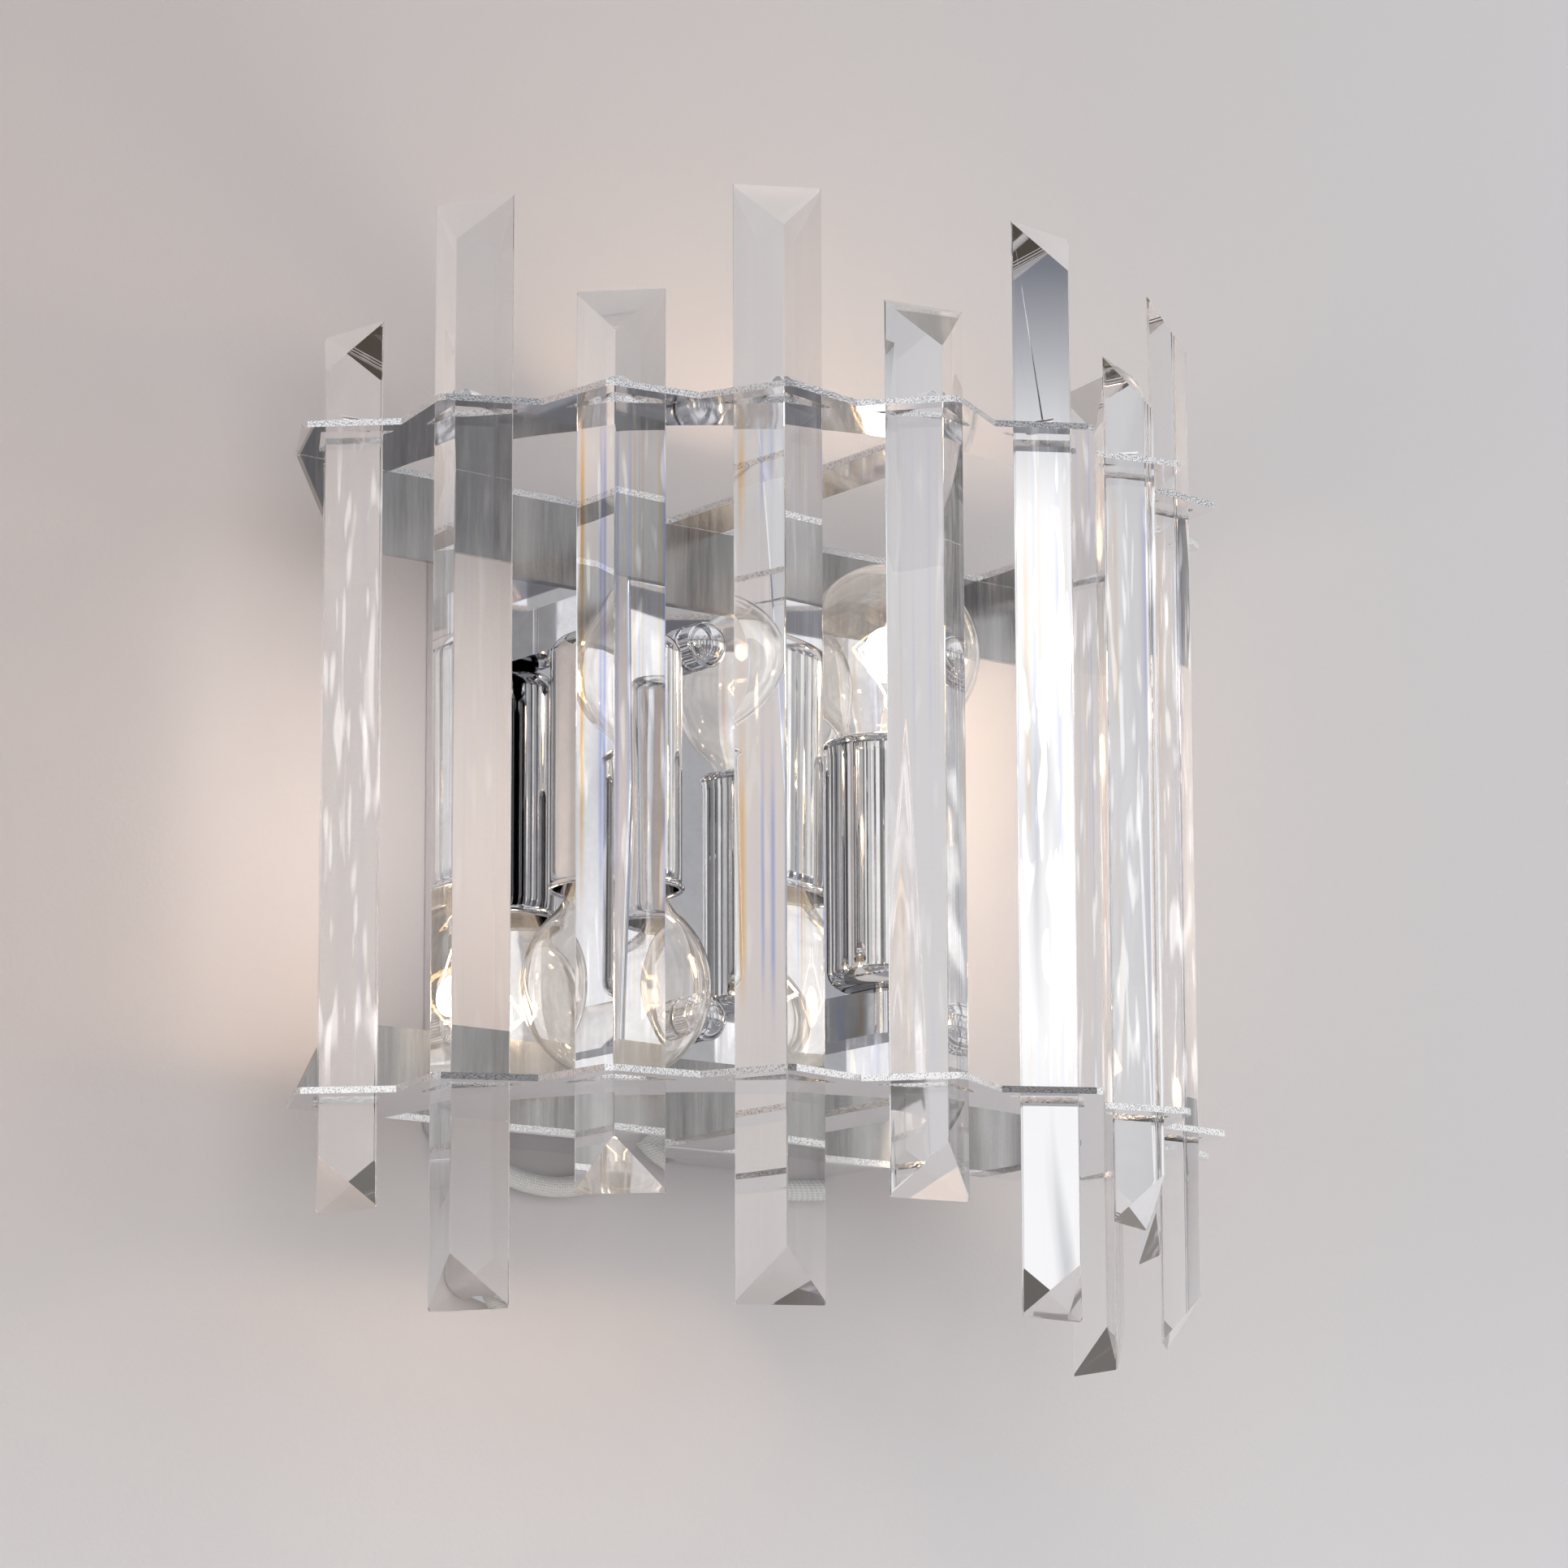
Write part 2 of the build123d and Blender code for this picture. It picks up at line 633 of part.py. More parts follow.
def make_bulb(prefix, side):
    """Clear bulb: screw cap with its insulator and tip, blown glass, stem with supports, and filament."""
    plane = lamp_plane(side)
    axis = lamp_axis(side)
    shell_r = CAP_D / 2
    skirt_r = CAP_SKIRT_D / 2

    with BuildPart() as cap:
        with BuildSketch(plane):
            with BuildLine():
                Polyline(
                    (shell_r - CAP_WALL, CAP_START),
                    (shell_r, CAP_START),
                    (shell_r, CAP_TOP),
                    (skirt_r, CAP_TOP + CAP_WALL),
                    (skirt_r, GLASS_START),
                    (skirt_r - CAP_WALL, GLASS_START),
                    (skirt_r - CAP_WALL, CAP_TOP + 2 * CAP_WALL),
                    (shell_r - CAP_WALL, CAP_TOP + CAP_WALL),
                    close=True,
                )
            make_face()
        revolve(axis=axis)
    save(cap, f"{prefix}_bulb_cap")

    with BuildPart() as insulator:
        with BuildSketch(plane):
            with BuildLine():
                Polyline(
                    (0, CAP_TIP_START + CAP_TIP_LENGTH),
                    (CAP_TIP_D / 2, CAP_TIP_START + CAP_TIP_LENGTH),
                    (shell_r - CAP_WALL, CAP_START),
                    (shell_r - CAP_WALL, CAP_START + CAP_CONE_LENGTH),
                    (0, CAP_START + CAP_CONE_LENGTH),
                    close=True,
                )
            make_face()
        revolve(axis=axis)
    save(insulator, f"{prefix}_bulb_insulator")

    with BuildPart() as tip:
        with BuildSketch(lamp_section(side, CAP_TIP_START)):
            Circle(CAP_TIP_D / 2)
        extrude(amount=CAP_TIP_LENGTH)
    save(tip, f"{prefix}_bulb_tip")

    with BuildPart() as glass:
        for inset, mode in ((0, Mode.ADD), (BULB_WALL, Mode.SUBTRACT)):
            neck_r, flare_y, flare_mid, join, ball_mid, top = glass_profile(inset)
            with BuildSketch(plane):
                with BuildLine():
                    Polyline(
                        (0, top), (0, GLASS_START + inset), (skirt_r - inset, GLASS_START + inset)
                    )
                    Line((skirt_r - inset, GLASS_START + inset), (neck_r, flare_y))
                    ThreePointArc((neck_r, flare_y), flare_mid, join)
                    ThreePointArc(join, ball_mid, (0, top))
                make_face()
            revolve(axis=axis, mode=mode)
    save(glass, f"{prefix}_bulb_glass")

    stem_end = GLASS_START + BULB_WALL + STEM_LENGTH
    with BuildPart() as stem:
        with BuildSketch(lamp_section(side, GLASS_START + BULB_WALL)):
            Circle(STEM_D / 2)
        extrude(amount=STEM_LENGTH)
        fillet(stem.faces().sort_by(Axis.Z)[-1 if side == RIGHT else 0].edges(), radius=STEM_D / 4)
    save(stem, f"{prefix}_bulb_stem")

    foot_x = STEM_D / 6
    foot_y = stem_end + FILAMENT_FOOT
    with BuildPart() as filament:
        with BuildLine(plane) as frame:
            FilletPolyline(
                (-foot_x, stem_end),
                (-foot_x, foot_y),
                (-FILAMENT_R, BULB_CENTRE),
                (-FILAMENT_R / 3, BULB_CENTRE + FILAMENT_RISE),
                (FILAMENT_R / 3, BULB_CENTRE + FILAMENT_RISE),
                (FILAMENT_R, BULB_CENTRE),
                (foot_x, foot_y),
                (foot_x, stem_end),
                radius=FILAMENT_WIRE_D,
            )
        with BuildSketch(Plane(origin=frame.line @ 0, z_dir=frame.line % 0)):
            Circle(FILAMENT_WIRE_D / 2)
        sweep()
    save(filament, f"{prefix}_bulb_filament")


# ---------------------------------------------------------------- wiring
def make_terminal_block():
    """Insulating terminal block on the bracket, with wells for its clamp screws."""
    width, depth, height = BLOCK_SIZE
    with BuildPart() as terminal_block:
        with BuildSketch(Plane.XZ.offset(BRACKET_T)):
            Rectangle(width, height)
        extrude(amount=depth)
        with BuildSketch(Plane.XZ.offset(BRACKET_T + depth)):
            with GridLocations(BLOCK_SCREW_PITCH, 0, 3, 1):
                Circle(BLOCK_SCREW_D / 2 + THREAD_CLEARANCE)
        extrude(amount=-depth / 2, mode=Mode.SUBTRACT)
    save(terminal_block, "terminal_block")

    with BuildPart() as terminal_screws:
        with BuildSketch(Plane.XZ.offset(BRACKET_T + depth / 2)):
            with GridLocations(BLOCK_SCREW_PITCH, 0, 3, 1):
                Circle(BLOCK_SCREW_D / 2)
        extrude(amount=depth / 2 - 1.0)
    save(terminal_screws, "terminal_screws")


def make_earth_screw():
    """Earth screw on the bracket, its head proud of the strap."""
    with BuildPart() as earth_screw:
        with BuildSketch(Plane.XZ.offset(BRACKET_T)):
            with Locations((0, EARTH_Z)):
                Circle(EARTH_HEAD_D / 2)
        extrude(amount=EARTH_HEAD_T)
    save(earth_screw, "earth_screw")


def route_radii(points):
    """Largest fillet radius at each corner of a route: 0.45 of the shorter run over tan(half the turn)."""
    radii = []
    for before, here, after in zip(points, points[1:], points[2:]):
        run_in = Vector(*here) - Vector(*before)
        run_out = Vector(*after) - Vector(*here)
        turn = math.radians(run_in.get_angle(run_out))
        radii.append(0.45 * min(run_in.length, run_out.length) / math.tan(turn / 2))
    return radii


def lead_crossings():
    """Where the supply lead crosses the cover's underside, as x values at its two notches."""
    crossings = []
    for (x0, up0), (x1, up1) in zip(LEAD_LOOP, LEAD_LOOP[1:]):
        if up0 * up1 < 0:
            crossings.append(x0 + (x1 - x0) * up0 / (up0 - up1))
    return crossings


def make_tube(name, points, diameter, last_radius=None):
    """Round cable along a route of straight runs joined by tangent arcs.

    A last corner that a bore holds takes its own radius.
    """
    radii = route_radii(points)
    if last_radius is not None:
        radii[-1] = last_radius
    start = Vector(*points[0])
    direction = Vector(*points[1]) - start
    with BuildPart() as tube:
        with BuildLine() as path:
            FilletPolyline(*points, radius=radii)
        with BuildSketch(Plane(origin=start, z_dir=direction)):
            Circle(diameter / 2)
        sweep()
    section = math.pi * diameter**2 / 4
    length = path.wires()[0].length
    print(f"{name}: length {length:.1f}, radii", [round(r, 1) for r in radii])
    print(f"{name}: volume {tube.part.volume:.1f} against {section * length:.1f}")
    save(tube, name)


def make_wiring():
    """The supply lead's slack loop and the two lamp leads from the block into the lampholders."""
    lead_y = -(BRACKET_T + BLOCK_SIZE[1] / 2)
    block_bottom = -BLOCK_SIZE[2] / 2
    tail = [
        (-BLOCK_SCREW_PITCH, lead_y, block_bottom),
        (-BLOCK_SCREW_PITCH, lead_y, block_bottom - LEAD_TAIL),
    ]
    inside = [(x, -out, z) for x, out, z in LEAD_INSIDE]
    loop = [(x, -LEAD_DEPTH, up - HALF_HEIGHT) for x, up in LEAD_LOOP]
    make_tube("supply_lead", tail + inside + loop, LEAD_D)
    for name, side in (("left_lamp_lead", LEFT), ("right_lamp_lead", RIGHT)):
        x = side * LAMP_X
        block_end = side * BLOCK_SIZE[0] / 2
        points = [
            (block_end, lead_y, 0),
            (block_end + side * LAMP_LEAD_TAIL, lead_y, 0),
            (x - side * COVER_WALL, lead_y, -side * LAMP_LEAD_IN),
            (x, lead_y - COVER_WALL, -side * ARM_Z),
            (x, LAMP_Y, -side * ARM_Z),
            (x, LAMP_Y, side * (HOLDER_FLOOR - SLEEVE_END_Z)),
        ]
        make_tube(name, points, LAMP_LEAD_D, last_radius=LAMP_LEAD_BEND_R)


make_bracket()
make_cover_studs()
make_cover()
make_cover_nut("upper_cover_nut", STUD_SPACING / 2)
make_cover_nut("lower_cover_nut", -STUD_SPACING / 2)
make_ring("upper_ring", UPPER)
make_ring("lower_ring", LOWER)
make_ring_nuts()
for prism_index in range(1, TOOTH_COUNT + 1):
    make_prism(prism_index)
for lamp_name, lamp_side in (("left", LEFT), ("right", RIGHT)):
    make_arm(f"{lamp_name}_arm", lamp_side)
    make_sleeve(f"{lamp_name}_sleeve", lamp_side)
    make_holder(f"{lamp_name}_holder", lamp_side)
    make_shell(f"{lamp_name}_socket_shell", lamp_side)
    make_bulb(lamp_name, lamp_side)
make_arm_nipples()
make_arm_nuts()
make_holder_nipples()
make_sleeve_nuts()
make_contacts()
make_terminal_block()
make_earth_screw()
make_wiring()
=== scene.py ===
"""Dresses the crystal wall sconce: polished ring plates, hanging prisms, lamps, bulbs and lead."""

from __future__ import annotations

import json
import logging
import math
from dataclasses import dataclass
from enum import Enum
from typing import Callable

import bmesh
import bpy
from mathutils import Matrix, Vector


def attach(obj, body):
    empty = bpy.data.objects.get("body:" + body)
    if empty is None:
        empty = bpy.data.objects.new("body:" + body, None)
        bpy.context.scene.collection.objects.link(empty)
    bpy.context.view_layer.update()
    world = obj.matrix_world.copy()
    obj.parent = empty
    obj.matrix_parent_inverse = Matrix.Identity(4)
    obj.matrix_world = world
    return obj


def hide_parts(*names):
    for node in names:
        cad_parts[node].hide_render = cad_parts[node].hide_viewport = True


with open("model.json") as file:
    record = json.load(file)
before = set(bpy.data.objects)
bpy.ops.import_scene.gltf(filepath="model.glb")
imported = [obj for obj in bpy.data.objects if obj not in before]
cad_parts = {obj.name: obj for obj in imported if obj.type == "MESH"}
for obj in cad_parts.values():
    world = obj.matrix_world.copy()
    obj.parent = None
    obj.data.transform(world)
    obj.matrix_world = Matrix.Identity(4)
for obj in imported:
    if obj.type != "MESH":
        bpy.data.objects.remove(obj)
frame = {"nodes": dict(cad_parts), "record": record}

log = logging.getLogger("sconce")
MM = 0.001
WHITE = (1.0, 1.0, 1.0)
Point = tuple[float, float, float]
Colour = tuple[float, float, float]
Pairs = tuple[tuple[float, float], ...]
Outline = list[tuple[float, float]]
Stops = tuple[tuple[float, Colour | float], ...]
Reshape = Callable[[float, float, float], float]
Socket = bpy.types.NodeSocket
Node = bpy.types.Node
Tree = bpy.types.NodeTree
Mesh = bpy.types.Mesh
Object = bpy.types.Object


class Named(Enum):
    """A choice whose name the nodes carry in lower case."""

    @property
    def word(self) -> str:
        """Name of the choice as the nodes use it."""
        return self.name.lower()


class Side(Named):
    """The two lamps: the left one points down and the right one up."""

    LEFT = -1
    RIGHT = 1


class Ends(Named):
    """The two ends of the cover, each held by a thumb nut."""

    UPPER = 1
    LOWER = -1


def dimmed(colour: Colour, share: float) -> Colour:
    """A colour with each channel brought down to a share of itself."""
    return tuple(share * channel for channel in colour)


# ---- node helpers
@dataclass
class Graph:
    """Short way to add and join the nodes of one node tree."""

    tree: Tree

    def feed(self, value: object, target: Socket) -> None:
        """Sets an input to an output's socket or to a plain value.

        Args:
            value: An output socket, a number, a vector or a colour without its alpha.
            target: The input it goes to.
        """
        if isinstance(value, Socket):
            self.tree.links.new(value, target)
        else:
            target.default_value = (*value, 1.0) if target.type == "RGBA" else value

    def add(self, kind: str, feeds: dict[str | int, object] | None = None, **settings: object) -> Node:
        """Adds a node.

        Args:
            kind: The node's type name.
            feeds: What its inputs get, by their names or numbers.
            settings: Properties set on the node before that.

        Returns:
            The new node.
        """
        node = self.tree.nodes.new(kind)
        for name, value in settings.items():
            setattr(node, name, value)
        for slot, value in (feeds or {}).items():
            self.feed(value, node.inputs[slot])
        return node

    def group(self, tree: Tree, feeds: dict[str, object]) -> bpy.types.NodeOutputs:
        """The outputs of a shader node group whose inputs are fed."""
        return self.add("ShaderNodeGroup", feeds, node_tree=tree).outputs

    def split(self, vector: Socket) -> bpy.types.NodeOutputs:
        """The x, y and z of a vector."""
        return self.add("ShaderNodeSeparateXYZ", {0: vector}).outputs

    def math(self, operation: str, first: object, second: object = 0.0, clamp: bool = False) -> Socket:
        """One arithmetic step on two values or sockets, which can be clamped between 0 and 1."""
        return self.add("ShaderNodeMath", {0: first, 1: second}, operation=operation,
                        use_clamp=clamp).outputs[0]

    def times(self, first: object, second: object) -> Socket:
        """The product of two values or sockets."""
        return self.math("MULTIPLY", first, second)

    def vector(self, operation: str, first: object, second: object) -> Socket:
        """One arithmetic step on two vectors, or on a vector and its scale."""
        slot = "Scale" if operation == "SCALE" else 1
        return self.add("ShaderNodeVectorMath", {0: first, slot: second}, operation=operation).outputs[0]

    def range(self, value: object, low: float, high: float, to_low: float = 0.0,
              to_high: float = 1.0) -> Socket:
        """Maps a value from the range low to high to the range to_low to to_high, clamped."""
        feeds = {"Value": value, "From Min": low, "From Max": high, "To Min": to_low, "To Max": to_high}
        return self.add("ShaderNodeMapRange", feeds).outputs["Result"]

    def noise(self, vector: Socket, scale: object, detail: float = 2.0, rough: float = 0.5,
              distortion: float = 0.0) -> Socket:
        """A soft random pattern with scale cells to a metre, and detail finer layers of strength rough."""
        feeds = {"Vector": vector, "Scale": scale, "Detail": detail, "Roughness": rough,
                 "Distortion": distortion}
        return self.add("ShaderNodeTexNoise", feeds).outputs["Fac"]

    def blend(self, mask: object, first: object, second: object, colours: bool = True) -> Socket:
        """Mixes two colours, or else two numbers, by a mask that is the second one's share."""
        kind, slot, result = ("RGBA", 6, 2) if colours else ("FLOAT", 2, 0)
        return self.add("ShaderNodeMix", {0: mask, slot: first, slot + 1: second},
                        data_type=kind).outputs[result]

    def mix(self, share: Socket, first: Socket, second: Socket) -> Socket:
        """Mixes two shaders by the share of the second one."""
        return self.add("ShaderNodeMixShader", {0: share, 1: first, 2: second}).outputs[0]

    def ramp(self, value: Socket, stops: Stops) -> Socket:
        """Reads a colour from a row of colours.

        Args:
            value: Place along the row, from 0 to 1.
            stops: Each colour, or level of grey, with its place, in rising order.

        Returns:
            The colour's socket.
        """
        node = self.add("ShaderNodeValToRGB", {0: value})
        elements = node.color_ramp.elements
        elements.remove(elements[1])
        elements[0].position = stops[0][0]
        for index, (place, colour) in enumerate(stops):
            element = elements.new(place) if index else elements[0]
            element.color = (*(colour if isinstance(colour, tuple) else (colour,) * 3), 1.0)
        return node.outputs[0]


def group_tree(name: str, inputs: dict[str, float | Point], outputs: tuple[str, ...],
               kind: str = "NodeSocketFloat") -> tuple[Graph, bpy.types.NodeOutputs, bpy.types.NodeInputs]:
    """Starts a shader node group with named sockets.

    Args:
        name: Name of the group.
        inputs: Input names with their defaults; a point makes a vector input.
        outputs: Names of the outputs.
        kind: Socket type of the outputs.

    Returns:
        The group's graph, what comes into it and what leaves it.
    """
    tree = bpy.data.node_groups.new(name, "ShaderNodeTree")
    for label, default in inputs.items():
        sort = "NodeSocketVector" if isinstance(default, tuple) else "NodeSocketFloat"
        tree.interface.new_socket(label, in_out="INPUT", socket_type=sort).default_value = default
    for label in outputs:
        tree.interface.new_socket(label, in_out="OUTPUT", socket_type=kind)
    graph = Graph(tree)
    return graph, graph.add("NodeGroupInput").outputs, graph.add("NodeGroupOutput").inputs


class Effects:
    """Shader node groups that several finishes share."""

    # Painted rainbow lines across a prism, standing in for light that the cut glass splits into colours, from
    # one edge at 0 to the other at 1.
    PAINTED_RAINBOW_LINES: Stops = (
        (0.02, WHITE), (0.045, (0.50, 0.60, 1.0)), (0.065, WHITE), (0.085, (1.0, 0.80, 0.52)), (0.11, WHITE),
        (0.29, WHITE), (0.315, (1.0, 0.70, 0.36)), (0.335, WHITE), (0.355, (0.55, 0.66, 1.0)), (0.38, WHITE),
        (0.59, WHITE), (0.62, (0.26, 0.34, 1.0)), (0.645, (0.75, 0.82, 1.0)), (0.66, WHITE),
        (0.85, WHITE), (0.875, (1.0, 0.80, 0.40)), (0.895, (1.0, 0.52, 0.20)), (0.92, WHITE),
    )
    # Painted highlights along a prism's rims, across it in the same way.
    PAINTED_RIM_HIGHLIGHTS: Stops = ((0.014, 0.45), (0.026, 0.0), (0.974, 0.0), (0.986, 0.45))
    # How strong the painted rainbow lines and painted glint dashes are round the ring, from its right end at 0
    # to its left end at 1.
    PAINTED_RAINBOW_SHARES: Stops = ((0.59, 0.55), (0.61, 1.0), (0.79, 1.0), (0.81, 0.16))
    PAINTED_GLINT_SHARES: Stops = (
        (0.39, 0.34), (0.41, 1.0), (0.49, 1.0), (0.51, 0.12), (0.69, 0.12), (0.71, 0.6), (0.79, 0.6),
        (0.81, 0.12), (0.89, 0.12), (0.91, 1.0),
    )
    # Colour of the painted highlights and glints, which glow on the prisms though the prisms are no lamp.
    LAMPLIGHT: Colour = (1.0, 0.98, 0.96)

    def __init__(self) -> None:
        """Builds every group once."""
        self.grain = self._grain()
        self.polish = self._polish()
        self.fringes = self._fringes()

    @staticmethod
    def _grain() -> Tree:
        """Long fine scratches along one direction, as brushing leaves them, and broad patches.

        Returns:
            The group's tree.
        """
        inputs = {"Vector": (0.0, 0.0, 0.0), "Stretch": (1.0, 1.0, 1.0), "Scale": 1.0}
        graph, source, sink = group_tree("Brushed Grain", inputs, ("Grain", "Patches"))
        stretched = graph.vector("MULTIPLY", source["Vector"], source["Stretch"])
        graph.feed(graph.noise(stretched, source["Scale"], 5.0, 0.65), sink["Grain"])
        graph.feed(graph.noise(stretched, graph.times(source["Scale"], 0.12)), sink["Patches"])
        return graph.tree

    @staticmethod
    def _polish() -> Tree:
        """Slow ripples of a polished sheet and the haze of handling.

        Returns:
            The group's tree.
        """
        inputs = {"Vector": (0.0, 0.0, 0.0), "Ripple Scale": 45.0, "Haze Scale": 160.0}
        graph, source, sink = group_tree("Polished Sheet", inputs, ("Ripple", "Haze"))
        graph.feed(graph.noise(source["Vector"], source["Ripple Scale"], 1.0), sink["Ripple"])
        graph.feed(graph.noise(source["Vector"], source["Haze Scale"], 6.0, 0.7), sink["Haze"])
        return graph.tree

    def _fringes(self) -> Tree:
        """Painted light on prisms that stand in a ring: painted rainbow lines, painted highlights along the
        rims and small painted glint dashes.

        Each prism has its own sector of the ring, and the place across it is read from there.

        Returns:
            The group's tree.
        """
        inputs = {"Vector": (0.0, 0.0, 0.0), "Ring Y": -0.025, "Prisms": 10.0, "Half Width": 0.0107}
        graph, source, sink = group_tree("Painted Prism Fringes", inputs, ("Colour", "Lamplight"), "NodeSocketColor")
        across, inwards, level = graph.split(source["Vector"])
        outwards = graph.math("SUBTRACT", source["Ring Y"], inwards)
        turn = graph.math("DIVIDE", graph.math("ARCTAN2", outwards, across), math.pi)
        sector = graph.math("FRACT", graph.times(turn, source["Prisms"]))
        squares = [graph.times(part, part) for part in (across, outwards)]
        reach = graph.math("SQRT", graph.math("ADD", *squares))
        width = graph.times(reach, graph.math("DIVIDE", math.pi, source["Prisms"]))
        aside = graph.times(graph.math("SUBTRACT", sector, 0.5), width)
        prism_width = graph.times(source["Half Width"], 2.0)
        place = graph.math("ADD", graph.math("DIVIDE", aside, prism_width), 0.5)
        between_plates = graph.range(graph.math("ABSOLUTE", level), 60 * MM, 78 * MM, 1.0, 0.0)

        # Painted rainbow lines, put into the base colour between the plates and wandering in strength.
        wandering = graph.range(graph.noise(source["Vector"], 14.0, 1.0), 0.38, 0.54, 0.1, 1.0)
        share = graph.times(wandering, graph.ramp(turn, self.PAINTED_RAINBOW_SHARES))
        shown = graph.times(share, between_plates)
        graph.feed(graph.blend(shown, WHITE, graph.ramp(place, self.PAINTED_RAINBOW_LINES)), sink["Colour"])

        # Painted glints and rim highlights, given out as glow: dashes between the plates that grow stronger to
        # the right, and the rims.
        rightwards = graph.range(across, -100 * MM, 60 * MM, 0.35, 1.0)
        upright = graph.vector("MULTIPLY", source["Vector"], (1.0, 1.0, 0.12))
        dashes = graph.range(graph.noise(upright, 480.0, 0.0), 0.66, 0.76, 0.05, 1.0)
        painted_glints = graph.times(graph.times(between_plates, rightwards),
                            graph.times(dashes, graph.ramp(turn, self.PAINTED_GLINT_SHARES)))
        painted_light_amount = graph.math("ADD", painted_glints, graph.ramp(place, self.PAINTED_RIM_HIGHLIGHTS), clamp=True)
        graph.feed(graph.blend(painted_light_amount, (0.0, 0.0, 0.0), self.LAMPLIGHT), sink["Lamplight"])
        return graph.tree


# ---- finishes
@dataclass
class Draft:
    """A material under way: its nodes, its principled shader and where patterns are read."""

    name: str
    effects: Effects | None = None

    def __post_init__(self) -> None:
        """Starts the material's nodes."""
        self.material = bpy.data.materials.new(self.name)
        self.material.use_nodes = True
        self.material.node_tree.nodes.clear()
        self.graph = Graph(self.material.node_tree)
        self.shader = self.graph.add("ShaderNodeBsdfPrincipled")
        self.output = self.graph.add("ShaderNodeOutputMaterial", {"Surface": self.shader.outputs[0]})
        self.coordinates = self.graph.add("ShaderNodeTexCoord").outputs
        self.place = self.coordinates["Object"]

    def set(self, values: dict[str, object]) -> None:
        """Feeds the shader's inputs, by their names."""
        for name, value in values.items():
            self.graph.feed(value, self.shader.inputs[name])

    def facing_up(self) -> Socket:
        """How much the surface faces up, from -1 to 1."""
        return self.graph.split(self.graph.add("ShaderNodeNewGeometry").outputs["True Normal"])["Z"]

    def bump(self, height: Socket, distance: float) -> None:
        """Raises the surface by a height, where 1 stands for a distance in metres."""
        node = self.graph.add("ShaderNodeBump", {"Height": height, "Distance": distance})
        self.set({"Normal": node.outputs[0]})

    def open(self, share: Socket) -> None:
        """Makes the surface transparent by a share."""
        through = self.graph.add("ShaderNodeBsdfTransparent").outputs[0]
        self.graph.feed(self.graph.mix(share, self.shader.outputs[0], through), self.output.inputs["Surface"])


@dataclass(frozen=True)
class Finish:
    """What every finish shares: its name and a way to make its material."""

    name: str

    def make(self, effects: Effects) -> bpy.types.Material:
        """Builds the material.

        Args:
            effects: The shared node groups.

        Returns:
            The finished material.
        """
        draft = Draft(self.name, effects)
        self.dress(draft)
        return draft.material

    def dress(self, draft: Draft) -> None:
        """Sets a draft's shader, as each finish does in its own way."""
        raise NotImplementedError


@dataclass(frozen=True)
class PolishedMetal(Finish):
    """Bright metal with slow ripples and a little haze."""

    colour: Colour
    roughness: float
    haze: float
    ripple_scale: float
    ripple: float = 0.00001
    dulled: float = 0.88

    def dress(self, draft: Draft) -> None:
        """Adds ripples, and haze that dulls the metal.

        Args:
            draft: The material under way.
        """
        graph = draft.graph
        polish = graph.group(draft.effects.polish, {"Vector": draft.place, "Ripple Scale": self.ripple_scale})
        haze = graph.range(polish["Haze"], 0.35, 0.75)
        draft.set({
            "Metallic": 1.0,
            "Base Color": graph.blend(haze, self.colour, dimmed(self.colour, self.dulled)),
            "Roughness": graph.range(haze, 0.0, 1.0, self.roughness, self.roughness + self.haze),
        })
        draft.bump(polish["Ripple"], self.ripple)


@dataclass(frozen=True)
class SheetMetal(Finish):
    """The ring plates: mirror on the flat, brushed on the flange and rough-cut, sparkling edges."""

    colour: Colour = (0.86, 0.86, 0.88)
    satin: Colour = (0.50, 0.495, 0.485)
    satin_patches: float = 0.62
    hairlines: Colour = (0.80, 0.80, 0.80)
    cut_dark: Colour = (0.55, 0.55, 0.56)
    cut_bright: Colour = (1.0, 0.99, 0.98)
    cut_roughness: float = 0.10
    plate_height: float = 75.9 * MM
    relief: float = 0.00003

    def dress(self, draft: Draft) -> None:
        """Tells flat, flange and edge apart by height and facing, and gives each its own look.

        Args:
            draft: The material under way.
        """
        graph, place = draft.graph, draft.place
        plate = graph.math("GREATER_THAN", graph.math("ABSOLUTE", graph.split(place)["Z"]), self.plate_height)
        upright = graph.math("LESS_THAN", graph.math("ABSOLUTE", draft.facing_up()), 0.5)
        edge = graph.times(plate, upright)
        flange = graph.math("SUBTRACT", 1.0, plate, clamp=True)
        brushing = {"Vector": place, "Stretch": (1.0, 1.0, 0.06), "Scale": 1100.0}
        grain, patches = graph.group(draft.effects.grain, brushing)
        ripple, haze = graph.group(draft.effects.polish, {"Vector": place, "Ripple Scale": 28.0})
        cut = graph.noise(place, 2600.0)

        brushed = graph.range(grain, 0.3, 0.7, 0.14, 0.26)
        polished = graph.range(haze, 0.4, 0.8, 0.03, 0.10)
        sheet = graph.blend(flange, polished, brushed, colours=False)
        hair = graph.range(grain, 0.38, 0.66, 0.0, 0.17)
        patch = graph.range(patches, 0.34, 0.66)
        satin = graph.blend(patch, self.satin, dimmed(self.satin, self.satin_patches))
        satin = graph.blend(hair, satin, self.hairlines)
        sawn = graph.blend(graph.range(cut, 0.36, 0.50), self.cut_dark, self.cut_bright)
        draft.set({
            "Metallic": 1.0,
            "Base Color": graph.blend(edge, graph.blend(flange, self.colour, satin), sawn),
            "Roughness": graph.blend(edge, sheet, self.cut_roughness, colours=False),
        })
        on_edge = graph.times(graph.times(cut, edge), 1.6)
        on_flange = graph.times(graph.times(grain, flange), 0.6)
        draft.bump(graph.math("ADD", graph.math("ADD", on_edge, on_flange), ripple), self.relief)


